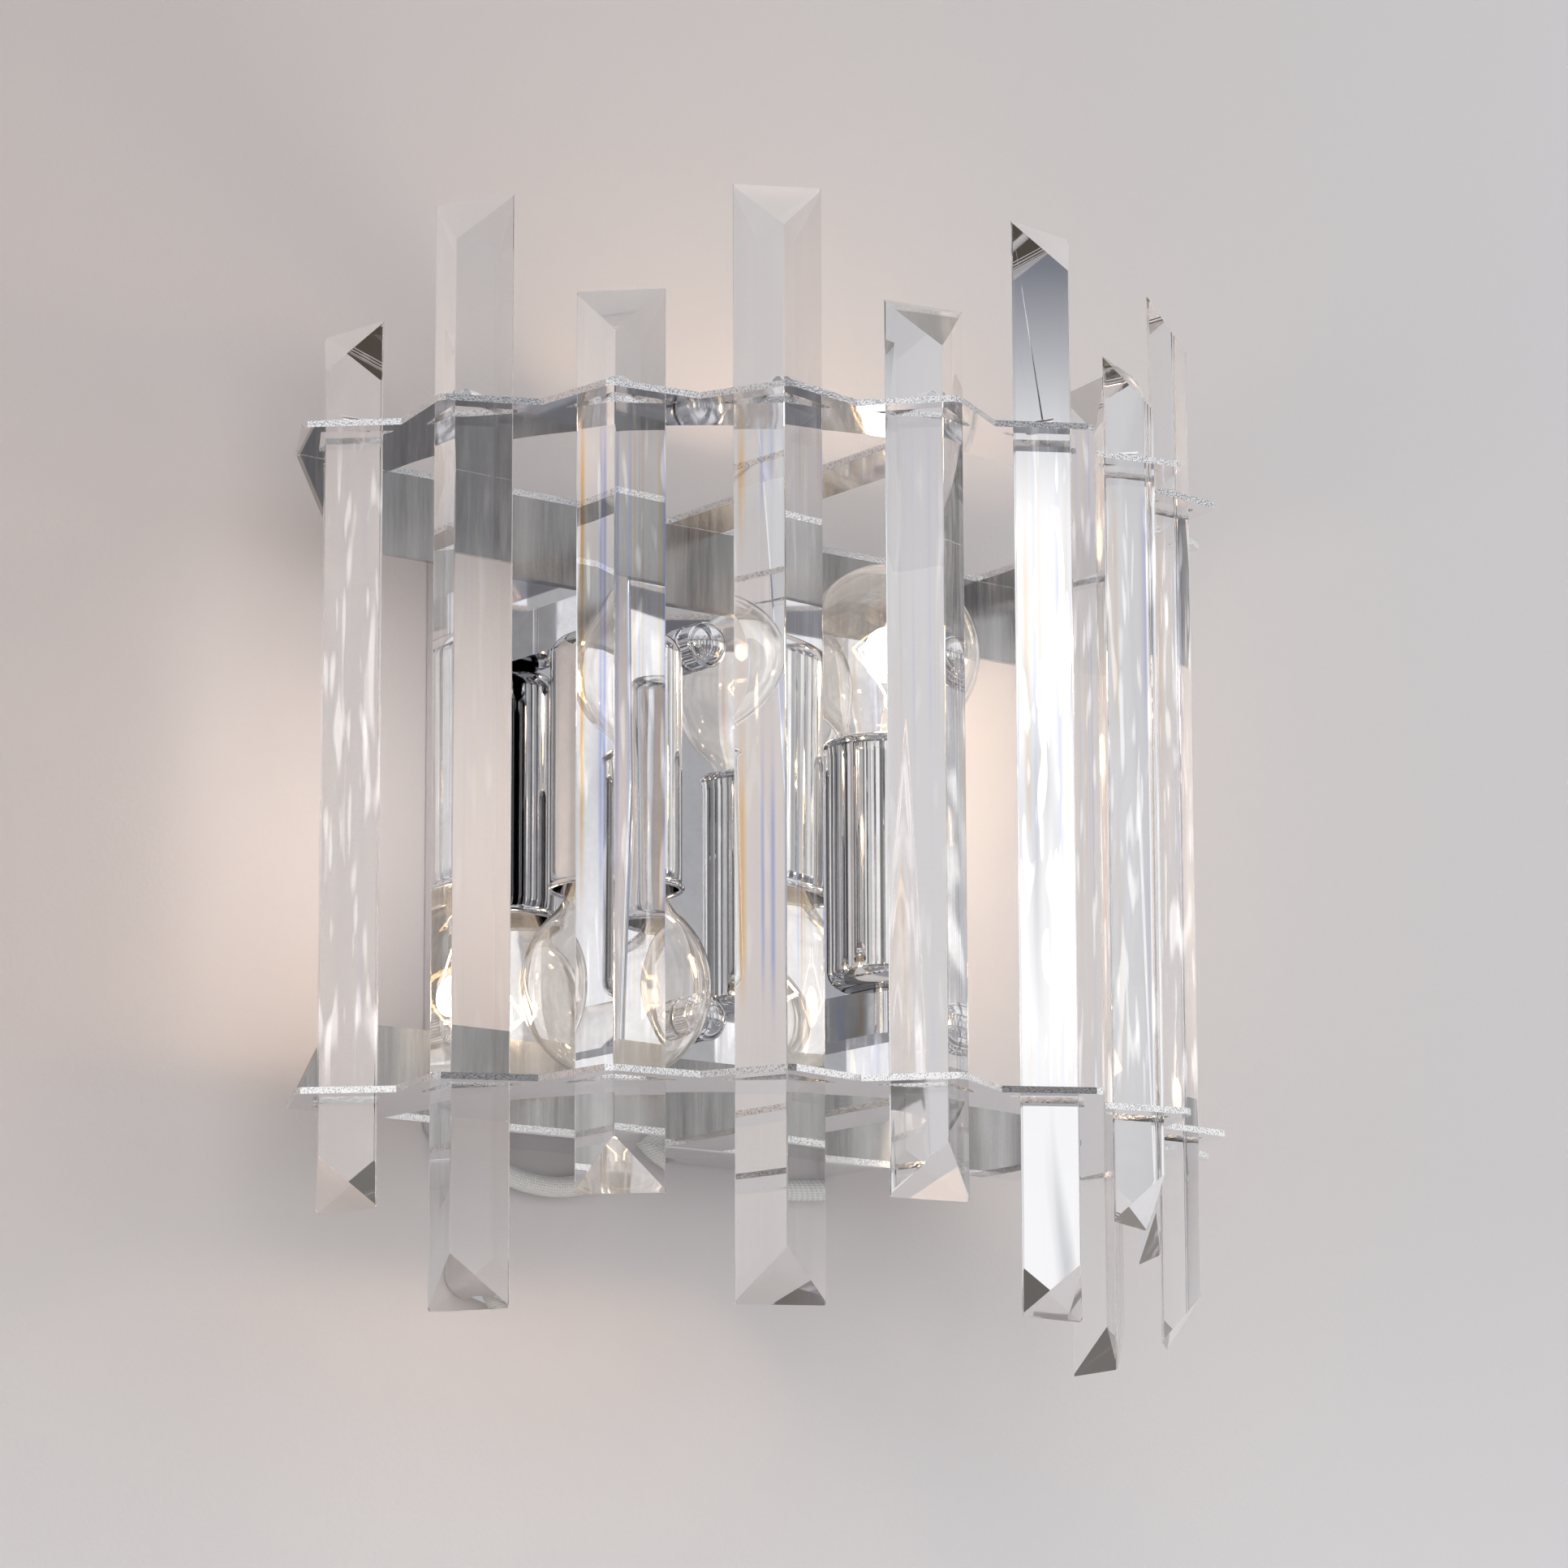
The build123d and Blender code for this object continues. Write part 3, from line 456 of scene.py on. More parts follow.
@dataclass(frozen=True)
class ClearGlass(Finish):
    """Clear glass, streaked or with a prism's painted fringes, and with a painted glow; most light passes it
    unshadowed.
    """

    colour: Colour
    ior: float
    passing: float
    lamplight: float
    fringed: bool = False
    streak: float = 0.0
    streak_scale: float = 60.0
    # Colours of the painted glow: the glass glows though it is no lamp, and end cuts facing up and down glow
    # in their own colours.
    lit: Colour = (1.0, 0.84, 0.68)
    painted_top_glow: Colour = (0.16, 0.15, 0.14)
    painted_bottom_glow: Colour = (0.070, 0.052, 0.036)

    def dress(self, draft: Draft) -> None:
        """Sets the glass with its painted glow, then adds what it has of painted fringes, painted glow on the
        end cuts and streaks.

        Args:
            draft: The material under way.
        """
        graph = draft.graph
        draft.set({
            "Base Color": self.colour, "Roughness": 0.0, "IOR": self.ior, "Transmission Weight": 1.0,
            "Emission Color": self.lit, "Emission Strength": self.lamplight,
        })
        if self.fringed:
            fringes = graph.group(draft.effects.fringes, {"Vector": draft.place})
            # Painted light by facing: upright faces take the painted rim highlights and glints, end cuts
            # facing down a dim painted glow and those facing up a brighter one.
            facing = draft.facing_up()
            sloped = graph.range(graph.math("ABSOLUTE", facing), 0.15, 0.30)
            upper = graph.range(facing, 0.15, 0.30)
            low = graph.blend(sloped, fringes["Lamplight"], self.painted_bottom_glow)
            lit = graph.blend(upper, low, self.painted_top_glow)
            draft.set({"Base Color": fringes["Colour"], "Emission Color": lit})
        if self.streak:
            drawn = {"Vector": draft.place, "Stretch": (1.0, 1.0, 0.04), "Scale": self.streak_scale}
            draft.bump(graph.group(draft.effects.grain, drawn)["Patches"], self.streak)
        shadow = graph.add("ShaderNodeLightPath").outputs["Is Shadow Ray"]
        draft.open(graph.times(shadow, self.passing))


@dataclass(frozen=True)
class Moulded(Finish):
    """Plastic, glazed or rubbery moulding with a fine skin."""

    colour: Colour
    roughness: float
    skin: float = 0.00002
    skin_scale: float = 900.0
    dulled: float = 0.93
    roughened: float = 0.1

    def dress(self, draft: Draft) -> None:
        """Adds a fine skin that is duller and rougher in places.

        Args:
            draft: The material under way.
        """
        graph = draft.graph
        fine = {"Vector": draft.place, "Haze Scale": self.skin_scale}
        skin = graph.group(draft.effects.polish, fine)["Haze"]
        haze = graph.range(skin, 0.3, 0.7)
        draft.set({
            "Base Color": graph.blend(haze, self.colour, dimmed(self.colour, self.dulled)),
            "Roughness": graph.range(haze, 0.0, 1.0, self.roughness, self.roughness + self.roughened),
        })
        draft.bump(skin, self.skin)


@dataclass(frozen=True)
class WovenBraid(Finish):
    """Braided sleeve of a lead: two sets of threads wound opposite ways, read from its own map."""

    colour: Colour = (0.88, 0.87, 0.85)
    shade: Colour = (0.66, 0.65, 0.63)
    threads_round: float = 22.0
    threads_along: float = 190.0
    relief: float = 0.0002

    def dress(self, draft: Draft) -> None:
        """Crosses two waves into a weave.

        Args:
            draft: The material under way.
        """
        graph = draft.graph
        mapped = graph.split(draft.coordinates["UV"])
        along = graph.times(mapped["X"], self.threads_along * math.pi)
        around = graph.times(mapped["Y"], self.threads_round * math.pi)
        waves = [graph.math("SINE", graph.math(way, along, around)) for way in ("ADD", "SUBTRACT")]
        height = graph.range(graph.times(*waves), -0.8, 0.8)
        # The low places of the weave take the darker shade colour, as painted shade between the threads.
        colour = graph.blend(height, self.shade, self.colour)
        draft.set({"Base Color": colour, "Roughness": 0.75, "Sheen Weight": 0.2})
        draft.bump(height, self.relief)


@dataclass(frozen=True)
class Glowing(Finish):
    """Hot filament wire."""

    colour: Colour = (1.0, 0.64, 0.32)
    strength: float = 190.0
    wire: Colour = (0.9, 0.7, 0.45)

    def dress(self, draft: Draft) -> None:
        """Makes the wire glow."""
        draft.set({"Base Color": self.wire, "Emission Color": self.colour, "Emission Strength": self.strength})


class Finishes:
    """Every finish of the sconce, built once and put on by slot name."""

    def __init__(self) -> None:
        """Builds the materials."""
        effects = Effects()
        kinds: dict[str, Finish] = {
            "ring_plate": SheetMetal("ring sheet metal"),
            "mirror_cover": PolishedMetal("mirror cover", (0.87, 0.87, 0.89), 0.015, 0.03, 14.0, 0.00003),
            "chrome_fittings": PolishedMetal("bright chrome", (0.88, 0.88, 0.89), 0.03, 0.05, 120.0),
            "sleeve_chrome": PolishedMetal("sleeve chrome", (0.88, 0.87, 0.86), 0.02, 0.03, 60.0),
            "zinc_steel": PolishedMetal("zinc plate", (0.62, 0.63, 0.65), 0.32, 0.2, 300.0),
            "pin_steel": PolishedMetal("bright pin", (0.78, 0.78, 0.79), 0.12, 0.1, 300.0),
            "cap_metal": PolishedMetal("nickel cap", (0.70, 0.68, 0.64), 0.22, 0.2, 300.0),
            "brass_parts": PolishedMetal("plain brass", (0.80, 0.62, 0.30), 0.22, 0.15, 200.0),
            # The numbers 0.8 and 0.03 are the strengths of the painted glow that the crystal and the bulb
            # glass give out though they are no lamp.
            "crystal": ClearGlass("cut crystal", (0.99, 0.992, 0.995), 1.52, 0.92, 0.8, fringed=True),
            "bulb_glass": ClearGlass("blown bulb glass", (1.0, 0.995, 0.985), 1.45, 0.95, 0.03, streak=1e-5),
            "holder_body": Moulded("lampholder moulding", (0.80, 0.78, 0.73), 0.42),
            "block_plastic": Moulded("terminal block moulding", (0.80, 0.80, 0.78), 0.38),
            "lamp_lead": Moulded("lead sleeving", (0.78, 0.77, 0.72), 0.5),
            "cap_insulator": Moulded("black cap glass", (0.03, 0.03, 0.035), 0.12),
            "white_braid": WovenBraid("white lead braid"),
            "filament_wire": Glowing("lit filament"),
        }
        self.materials = {slot: kind.make(effects) for slot, kind in kinds.items()}

    def cover(self, data: bpy.types.ID, slot: str) -> None:
        """Puts a slot's material on a mesh or curve in place of what it has."""
        data.materials.clear()
        data.materials.append(self.materials[slot])

    def dress_nodes(self) -> None:
        """Puts each CAD node's finish on it, as its record names it."""
        for entry in frame["record"]["subparts"]:
            self.cover(frame["nodes"][entry["node"]].data, entry["material_slot"])
        log.info("dressed %d nodes", len(frame["nodes"]))

    def fit(self, piece: Object, slot: str, body: str, node: str) -> None:
        """Gives a new piece its finish and its place in the frame.

        Args:
            piece: The new object.
            slot: Name of the record's slot.
            body: The body it rides on.
            node: The CAD node it stands in for.
        """
        self.cover(piece.data, slot)
        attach(piece, body)
        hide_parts(node)


# ---- mesh helpers
def add_object(name: str, data: bpy.types.ID) -> Object:
    """Links data to the scene as a new object at the origin."""
    made = bpy.data.objects.new(name, data)
    bpy.context.scene.collection.objects.link(made)
    return made


def add_piece(mesh: Mesh, smooth_angle: float) -> Object:
    """Links a mesh as a smooth object of its name, where edges over an angle in degrees stay sharp."""
    mesh.shade_smooth()
    mesh.set_sharp_from_angle(angle=math.radians(smooth_angle))
    return add_object(mesh.name, mesh)


def settle(name: str, made: bmesh.types.BMesh) -> Mesh:
    """Turns an edited mesh into a plain one and frees it."""
    mesh = bpy.data.meshes.new(name)
    made.to_mesh(mesh)
    made.free()
    return mesh


def lathe(name: str, profile: Outline, centre: tuple[float, float], segments: int,
          shape: Reshape | None = None) -> Mesh:
    """Turns a closed outline round an upright axis.

    Args:
        name: Name of the mesh.
        profile: Closed outline as (radius, z); a radius of 0 makes a pole.
        centre: The axis's x and y.
        segments: Steps round the axis.
        shape: Optional change of the radius from (radius, z, angle).

    Returns:
        The finished mesh, its faces outwards.
    """
    made = bmesh.new()
    rings: list[list[bmesh.types.BMVert]] = []
    for radius, z in profile:
        ring = []
        for step in range(segments if radius else 1):
            angle = math.tau * step / segments
            r = shape(radius, z, angle) if shape else radius
            ring.append(made.verts.new((centre[0] + r * math.cos(angle), centre[1] + r * math.sin(angle), z)))
        rings.append(ring)
    for here, there in zip(rings, rings[1:] + rings[:1]):
        if len(here) == len(there) == 1:
            continue
        for step in range(segments):
            after = (step + 1) % segments
            corners = ((here, step), (there, step), (there, after), (here, after))
            made.faces.new(dict.fromkeys(ring[k % len(ring)] for ring, k in corners))
    bmesh.ops.recalc_face_normals(made, faces=made.faces)
    return settle(name, made)


def arc(centre: tuple[float, float], radius: float, start: float, end: float, steps: int) -> Outline:
    """Points of an outline along an arc from a start to an end angle in degrees, both included."""
    angles = [math.radians(start + (end - start) * i / steps) for i in range(steps + 1)]
    return [(centre[0] + radius * math.cos(a), centre[1] + radius * math.sin(a)) for a in angles]


@dataclass
class NodeShape:
    """A Geometry Nodes tree with named inputs, run once on a base mesh."""

    name: str
    inputs: dict[str, tuple[str, object]]

    def __post_init__(self) -> None:
        """Starts the tree with its geometry, its named inputs and its material."""
        self.tree = bpy.data.node_groups.new(self.name, "GeometryNodeTree")
        self.tree.interface.new_socket("Geometry", in_out="INPUT", socket_type="NodeSocketGeometry")
        for label, (kind, default) in self.inputs.items():
            socket = self.tree.interface.new_socket(label, in_out="INPUT", socket_type=f"NodeSocket{kind}")
            socket.default_value = default
        self.tree.interface.new_socket("Material", in_out="INPUT", socket_type="NodeSocketMaterial")
        self.tree.interface.new_socket("Geometry", in_out="OUTPUT", socket_type="NodeSocketGeometry")
        self.graph = Graph(self.tree)
        self.source = self.graph.add("NodeGroupInput").outputs
        self.sink = self.graph.add("NodeGroupOutput").inputs

    def finish(self, geometry: Socket) -> None:
        """Ends the tree in real geometry, smooth shading and its material.

        Args:
            geometry: The geometry to end with.
        """
        real = self.graph.add("GeometryNodeRealizeInstances", {0: geometry}).outputs[0]
        smooth = self.graph.add("GeometryNodeSetShadeSmooth", {"Geometry": real}).outputs[0]
        feeds = {"Geometry": smooth, "Material": self.source["Material"]}
        self.graph.feed(self.graph.add("GeometryNodeSetMaterial", feeds).outputs[0], self.sink[0])

    def run(self, base: Object, values: dict[str, object]) -> None:
        """Runs the tree on a base object and keeps the result as its plain mesh.

        Args:
            base: The object whose mesh goes in.
            values: Input values by name.
        """
        modifier = base.modifiers.new(self.name, "NODES")
        modifier.node_group = self.tree
        keys = {i.name: i.identifier for i in self.tree.interface.items_tree if i.in_out == "INPUT"}
        for label, value in values.items():
            modifier[keys[label]] = value
        depsgraph = bpy.context.evaluated_depsgraph_get()
        result = bpy.data.meshes.new_from_object(base.evaluated_get(depsgraph), depsgraph=depsgraph)
        result.name = base.name
        base.modifiers.remove(modifier)
        base.data = result


def coil_tree() -> NodeShape:
    """Fine wire wound in an even coil along a line.

    Returns:
        The tree, ready to run.
    """
    shape = NodeShape("Wound Wire", {
        "Points": ("Int", 400), "Points per Turn": ("Int", 8),
        "Coil Radius": ("Float", 0.0003), "Wire Radius": ("Float", 0.0001),
    })
    graph, source = shape.graph, shape.source
    line = graph.add("GeometryNodeMeshToCurve", {"Mesh": source["Geometry"]}).outputs[0]
    even = graph.add("GeometryNodeResampleCurve", {"Curve": line, "Count": source["Points"]}).outputs[0]
    along, aside, index = (graph.add(f"GeometryNodeInput{kind}").outputs[0]
                           for kind in ("Tangent", "Normal", "Index"))
    across = graph.vector("CROSS_PRODUCT", along, aside)
    angle = graph.times(graph.math("DIVIDE", index, source["Points per Turn"]), math.tau)
    offsets = [graph.vector("SCALE", way, graph.times(graph.math(wave, angle), source["Coil Radius"]))
               for way, wave in ((aside, "COSINE"), (across, "SINE"))]
    moving = {"Geometry": even, "Offset": graph.vector("ADD", *offsets)}
    moved = graph.add("GeometryNodeSetPosition", moving).outputs[0]
    section = graph.add("GeometryNodeCurvePrimitiveCircle", {"Resolution": 6, "Radius": source["Wire Radius"]})
    sweeping = {"Curve": moved, "Profile Curve": section.outputs[0], "Fill Caps": True}
    shape.finish(graph.add("GeometryNodeCurveToMesh", sweeping).outputs[0])
    return shape


def knurl_tree() -> NodeShape:
    """Straight knurl: small ribs set round a collar that points out of the wall.

    Returns:
        The tree, ready to run.
    """
    shape = NodeShape("Knurled Collar", {
        "Count": ("Int", 40), "Radius": ("Float", 0.0056),
        "Rib Size": ("Vector", (0.0005, 0.0005, 0.005)), "Place": ("Vector", (0.0, 0.0, 0.0)),
    })
    graph, source = shape.graph, shape.source
    circle = graph.add("GeometryNodeMeshCircle", {"Vertices": source["Count"], "Radius": source["Radius"]})
    rib = graph.add("GeometryNodeMeshCube", {"Size": source["Rib Size"]})
    index = graph.add("GeometryNodeInputIndex").outputs[0]
    turn = graph.math("DIVIDE", graph.times(index, math.tau), source["Count"])
    on_corner = graph.add("ShaderNodeCombineXYZ", {"Z": graph.math("ADD", turn, math.pi / 4)})
    ribs = graph.add("GeometryNodeInstanceOnPoints", {
        "Points": circle.outputs["Mesh"], "Instance": rib.outputs["Mesh"], "Rotation": on_corner.outputs[0],
    })
    placed = graph.add("GeometryNodeTransform", {
        "Geometry": ribs.outputs[0], "Translation": source["Place"], "Rotation": (math.pi / 2, 0.0, 0.0),
    })
    both = graph.add("GeometryNodeJoinGeometry")
    graph.feed(placed.outputs[0], both.inputs[0])
    graph.feed(source["Geometry"], both.inputs[0])
    shape.finish(both.outputs[0])
    return shape


# ---- lead
@dataclass
class SupplyLead:
    """White braided lead from the terminal block out under the cover, in a slack loop, and back in."""

    finishes: Finishes
    diameter: float = 5.0 * MM
    route: tuple[Point, ...] = (
        (-9.0, -7.0, -7.0), (-9.0, -7.0, -20.0), (-24.0, -6.4, -36.0), (-42.0, -5.0, -50.0),
        (-53.5, -3.6, -64.0), (-52.5, -3.6, -76.5), (-43.5, -3.6, -84.4), (-27.0, -3.6, -87.4),
        (-12.0, -3.6, -83.7), (3.5, -3.6, -77.7), (7.5, -3.6, -67.0),
    )
    length: float = 156.5 * MM

    def build(self) -> None:
        """Makes the lead as one smooth curve."""
        curve = bpy.data.curves.new("supply_lead_braid", "CURVE")
        curve.dimensions = "3D"
        curve.bevel_depth = self.diameter / 2
        curve.bevel_resolution = 6
        curve.resolution_u = 24
        curve.use_fill_caps = True
        spline = curve.splines.new("NURBS")
        spline.points.add(len(self.route) - 1)
        for point, place in zip(spline.points, self.route):
            point.co = (*(c * MM for c in place), 1.0)
        spline.order_u = 3
        spline.use_endpoint_u = True
        lead = add_object(curve.name, curve)
        self.finishes.fit(lead, "white_braid", "fixture", "supply_lead")
        log.info("supply lead made")


# ---- lamps
@dataclass
class Lamp:
    """One lamp: polished sleeve and clear bulb. Distances run from the sleeve's closed end."""

    side: Side
    finishes: Finishes
    coils: NodeShape
    x: float = 41.0 * MM
    y: float = -49.0 * MM
    closed_end: float = 38.2 * MM
    sleeve_r: float = 15.5 * MM
    sleeve_length: float = 61.0 * MM
    sleeve_wall: float = 1.0 * MM
    end_r: float = 4.8 * MM
    bore_r: float = 4.1 * MM
    lip_r: float = 0.75 * MM
    bulb_r: float = 22.5 * MM
    bulb_centre: float = 83.5 * MM
    neck_r: float = 10.8 * MM
    flare_r: float = 14.0 * MM
    glass_wall: float = 0.6 * MM
    glass_start: float = 54.8 * MM
    cap_r: float = 6.9 * MM
    cap_wall: float = 0.7 * MM
    cap_start: float = 30.9 * MM
    cap_top: float = 52.4 * MM
    skirt_r: float = 7.5 * MM
    skirt_wall: float = 0.4 * MM
    thread_pitch: float = 2.82 * MM
    thread_depth: float = 0.3 * MM
    thread_fade: float = 2.0 * MM
    stem_start: float = 55.6 * MM
    stem: Pairs = (
        (0.0, 0.0), (3.2, 0.0), (3.0, 4.0), (2.2, 9.0), (1.6, 13.0), (1.5, 14.4), (0.9, 15.0), (0.0, 15.0),
    )
    leg_x: float = 1.07 * MM
    leg_rise: float = 3.0 * MM
    leg_r: float = 0.25 * MM
    leg_sides: int = 8
    span_x: float = 9.0 * MM
    crest_x: float = 3.0 * MM
    crest_rise: float = 4.5 * MM
    coil_pitch: float = 0.6 * MM
    coil_points: int = 8
    coil_r: float = 0.35 * MM
    coil_wire_r: float = 0.11 * MM

    def build(self) -> None:
        """Makes the whole lamp."""
        self.build_sleeve()
        self.build_glass()
        self.build_cap()
        self.build_stem()
        self.build_filament()
        log.info("%s lamp made", self.side.word)

    def up(self, distance: float) -> float:
        """Height of a point at a distance from the sleeve's closed end."""
        return self.side.value * (distance - self.closed_end)

    def place(self, x: float, distance: float) -> Vector:
        """Point of the filament's plane, beside the axis by x."""
        return Vector((self.side.value * self.x + x, self.y, self.up(distance)))

    def turned(self, name: str, outline: Outline, segments: int, shape: Reshape | None = None) -> Mesh:
        """Turns an outline of (radius, distance) round the lamp's axis, as lathe does."""
        points = [(r, self.up(t)) for r, t in outline]
        return lathe(f"{self.side.word}_{name}", points, (self.side.value * self.x, self.y), segments, shape)

    def fit(self, piece: Object, slot: str, node: str, body: str = "bulb") -> None:
        """Gives a piece of the lamp its finish, and its place in the bulb or the fixture."""
        rides = body if body == "fixture" else f"{self.side.word}_{body}"
        self.finishes.fit(piece, slot, rides, f"{self.side.word}_{node}")

    def build_sleeve(self) -> None:
        """Makes the polished sleeve with its rounded closed end and thin rolled lip."""
        r, wall, end, length = self.sleeve_r, self.sleeve_wall, self.end_r, self.sleeve_length
        outer = [(self.bore_r, 0.0)] + arc((r - end, end), end, -90, 0, 24)
        outer += [(r, end + (length - 2.2 * MM - end) * i / 24) for i in range(1, 25)]
        lip = arc((r - 0.1 * MM, length - self.lip_r), self.lip_r, -60, 190, 14)
        inner = [(r - wall, length - 1.8 * MM), (r - wall, end)]
        inner += arc((r - end, end), end - wall, 0, -90, 10)[1:] + [(self.bore_r, wall)]
        sleeve = add_piece(self.turned("sleeve_tube", outer + lip + inner, 192), 50.0)
        self.fit(sleeve, "sleeve_chrome", "sleeve", "fixture")

    def glass_outline(self, inset: float) -> Outline:
        """Outline of the bulb's glass from its cap to its tip.

        Args:
            inset: Distance in from the outside.

        Returns:
            The outline's points.
        """
        ball, neck, flare = self.bulb_r - inset, self.neck_r - inset, self.flare_r + inset
        flare_x = neck + flare
        drop = math.sqrt((ball + flare) ** 2 - flare_x**2)
        join = math.degrees(math.atan2(drop, -flare_x))
        start = [(0.0, self.glass_start + inset), (self.skirt_r - inset, self.glass_start + inset)]
        curve = arc((flare_x, self.bulb_centre - drop), flare, 180, join, 14)
        curve += arc((0.0, self.bulb_centre), ball, join - 180, 90, 48)[1:-1]
        return start + curve + [(0.0, self.bulb_centre + ball)]

    def build_glass(self) -> None:
        """Makes the bulb's hollow glass, its inner face turned inwards."""
        made = bmesh.new()
        for inset in (0.0, self.glass_wall):
            part = self.turned("glass_part", self.glass_outline(inset), 96)
            before = set(made.faces)
            made.from_mesh(part)
            if inset:
                bmesh.ops.reverse_faces(made, faces=[f for f in made.faces if f not in before])
            bpy.data.meshes.remove(part)
        glass = add_piece(settle(f"{self.side.word}_bulb_blown", made), 180.0)
        self.fit(glass, "bulb_glass", "bulb_glass")

    def build_cap(self) -> None:
        """Makes the small screw cap with its rolled thread."""
        r, start, top = self.cap_r, self.cap_start, self.cap_top
        skirt, inside = self.skirt_r - self.skirt_wall, r - self.cap_wall
        outer = [(r, start + (top - 1.0 * MM - start) * i / 60) for i in range(61)]
        rim = [(r, top - 0.5 * MM), (self.skirt_r, top + 0.4 * MM), (self.skirt_r, self.glass_start)]
        inner = [(skirt, self.glass_start), (skirt, top + 0.6 * MM), (inside, top + 0.4 * MM), (inside, start)]
        low, high = start + 1.5 * MM, top - 3.0 * MM

        def thread(radius: float, z: float, angle: float) -> float:
            """Radius of the rolled thread at a point."""
            distance = self.side.value * z + self.closed_end
            if abs(radius - r) > self.thread_depth or not low < distance < high:
                return radius
            fade = min(1.0, (distance - low) / self.thread_fade, (high - distance) / self.thread_fade)
            wave = math.sin(math.tau * distance / self.thread_pitch - self.side.value * angle)
            return radius - self.thread_depth * fade * (0.5 - 0.5 * wave)

        cap = add_piece(self.turned("bulb_thread", outer + rim + inner, 72, thread), 40.0)
        self.fit(cap, "cap_metal", "bulb_cap")

    def build_stem(self) -> None:
        """Makes the glass stem with its pinch."""
        outline = [(r * MM, self.stem_start + rise * MM) for r, rise in self.stem]
        self.fit(add_piece(self.turned("bulb_pinch", outline, 40), 60.0), "bulb_glass", "bulb_stem")

    def build_filament(self) -> None:
        """Makes the coiled filament on its two supports."""
        centre, crest = self.bulb_centre, self.bulb_centre + self.crest_rise
        span = ((-self.span_x, centre), (-self.crest_x, crest), (self.crest_x, crest), (self.span_x, centre))
        corners = [self.place(x, t) for x, t in span]
        mesh = bpy.data.meshes.new(f"{self.side.word}_bulb_coil")
        mesh.from_pydata(corners, [(i, i + 1) for i in range(len(corners) - 1)], [])
        coil = add_object(mesh.name, mesh)
        length = sum((b - a).length for a, b in zip(corners, corners[1:]))
        self.coils.run(coil, {
            "Points": round(length / self.coil_pitch) * self.coil_points, "Points per Turn": self.coil_points,
            "Coil Radius": self.coil_r, "Wire Radius": self.coil_wire_r,
            "Material": self.finishes.materials["filament_wire"],
        })
        made = bmesh.new()
        made.from_mesh(coil.data)
        foot = self.stem_start + self.stem[-1][1] * MM
        for sign in (-1, 1):
            leg = ((self.leg_x, foot), (self.leg_x, foot + self.leg_rise), (self.span_x, centre))
            self.add_tube(made, [self.place(sign * x, t) for x, t in leg])
        made.to_mesh(coil.data)
        made.free()
        self.fit(coil, "filament_wire", "bulb_filament")

    def add_tube(self, made: bmesh.types.BMesh, line: list[Vector]) -> None:
        """Adds a support as a closed round tube along points.

        Args:
            made: The mesh to add to.
            line: The points it follows.
        """
        rings = []
        side = (line[1] - line[0]).orthogonal().normalized()
        angles = [math.tau * i / self.leg_sides for i in range(self.leg_sides)]
        for index, point in enumerate(line):
            along = (line[min(index + 1, len(line) - 1)] - line[max(index - 1, 0)]).normalized()
            side = (side - along * side.dot(along)).normalized()
            third = along.cross(side)
            rings.append([made.verts.new(point + (side * math.cos(a) + third * math.sin(a)) * self.leg_r)
                          for a in angles])
        for here, there in zip(rings, rings[1:]):
            for i in range(self.leg_sides):
                j = (i + 1) % self.leg_sides
                made.faces.new((here[i], here[j], there[j], there[i]))
        made.faces.new(list(reversed(rings[0])))
        made.faces.new(rings[-1])


# ---- prisms
@dataclass
class Prisms:
    """The hanging prisms, cut with narrow polished chamfers along their edges."""

    finishes: Finishes
    count: int = 10
    chamfer: float = 0.35 * MM
    shortest_edge: float = 3.0 * MM
    least_fold: float = 20.0
    flat_within: float = 1.0
    weld: float = 0.001 * MM

    def build(self) -> None:
        """Makes every prism."""
        for number in range(1, self.count + 1):
            self.build_one(number)
        log.info("%d prisms made", self.count)

    def build_one(self, number: int) -> None:
        """Makes one prism from its solid's own faces.

        Args:
            number: Its number, from the left.
        """
        made = bmesh.new()
        made.from_mesh(frame["nodes"][f"crystal_{number}"].data)
        bmesh.ops.remove_doubles(made, verts=made.verts, dist=self.weld)
        flat = math.radians(self.flat_within)
        bmesh.ops.dissolve_limit(made, angle_limit=flat, verts=made.verts, edges=made.edges)
        edges = [e for e in made.edges if e.is_manifold and e.calc_face_angle() > math.radians(self.least_fold)
                 and e.calc_length() > self.shortest_edge]
        bmesh.ops.bevel(made, geom=edges, offset=self.chamfer, segments=2, profile=0.5, affect="EDGES")
        prism = add_piece(settle(f"crystal_{number}_cut", made), 12.0)
        self.finishes.fit(prism, "crystal", f"prism_{number}", f"crystal_{number}")


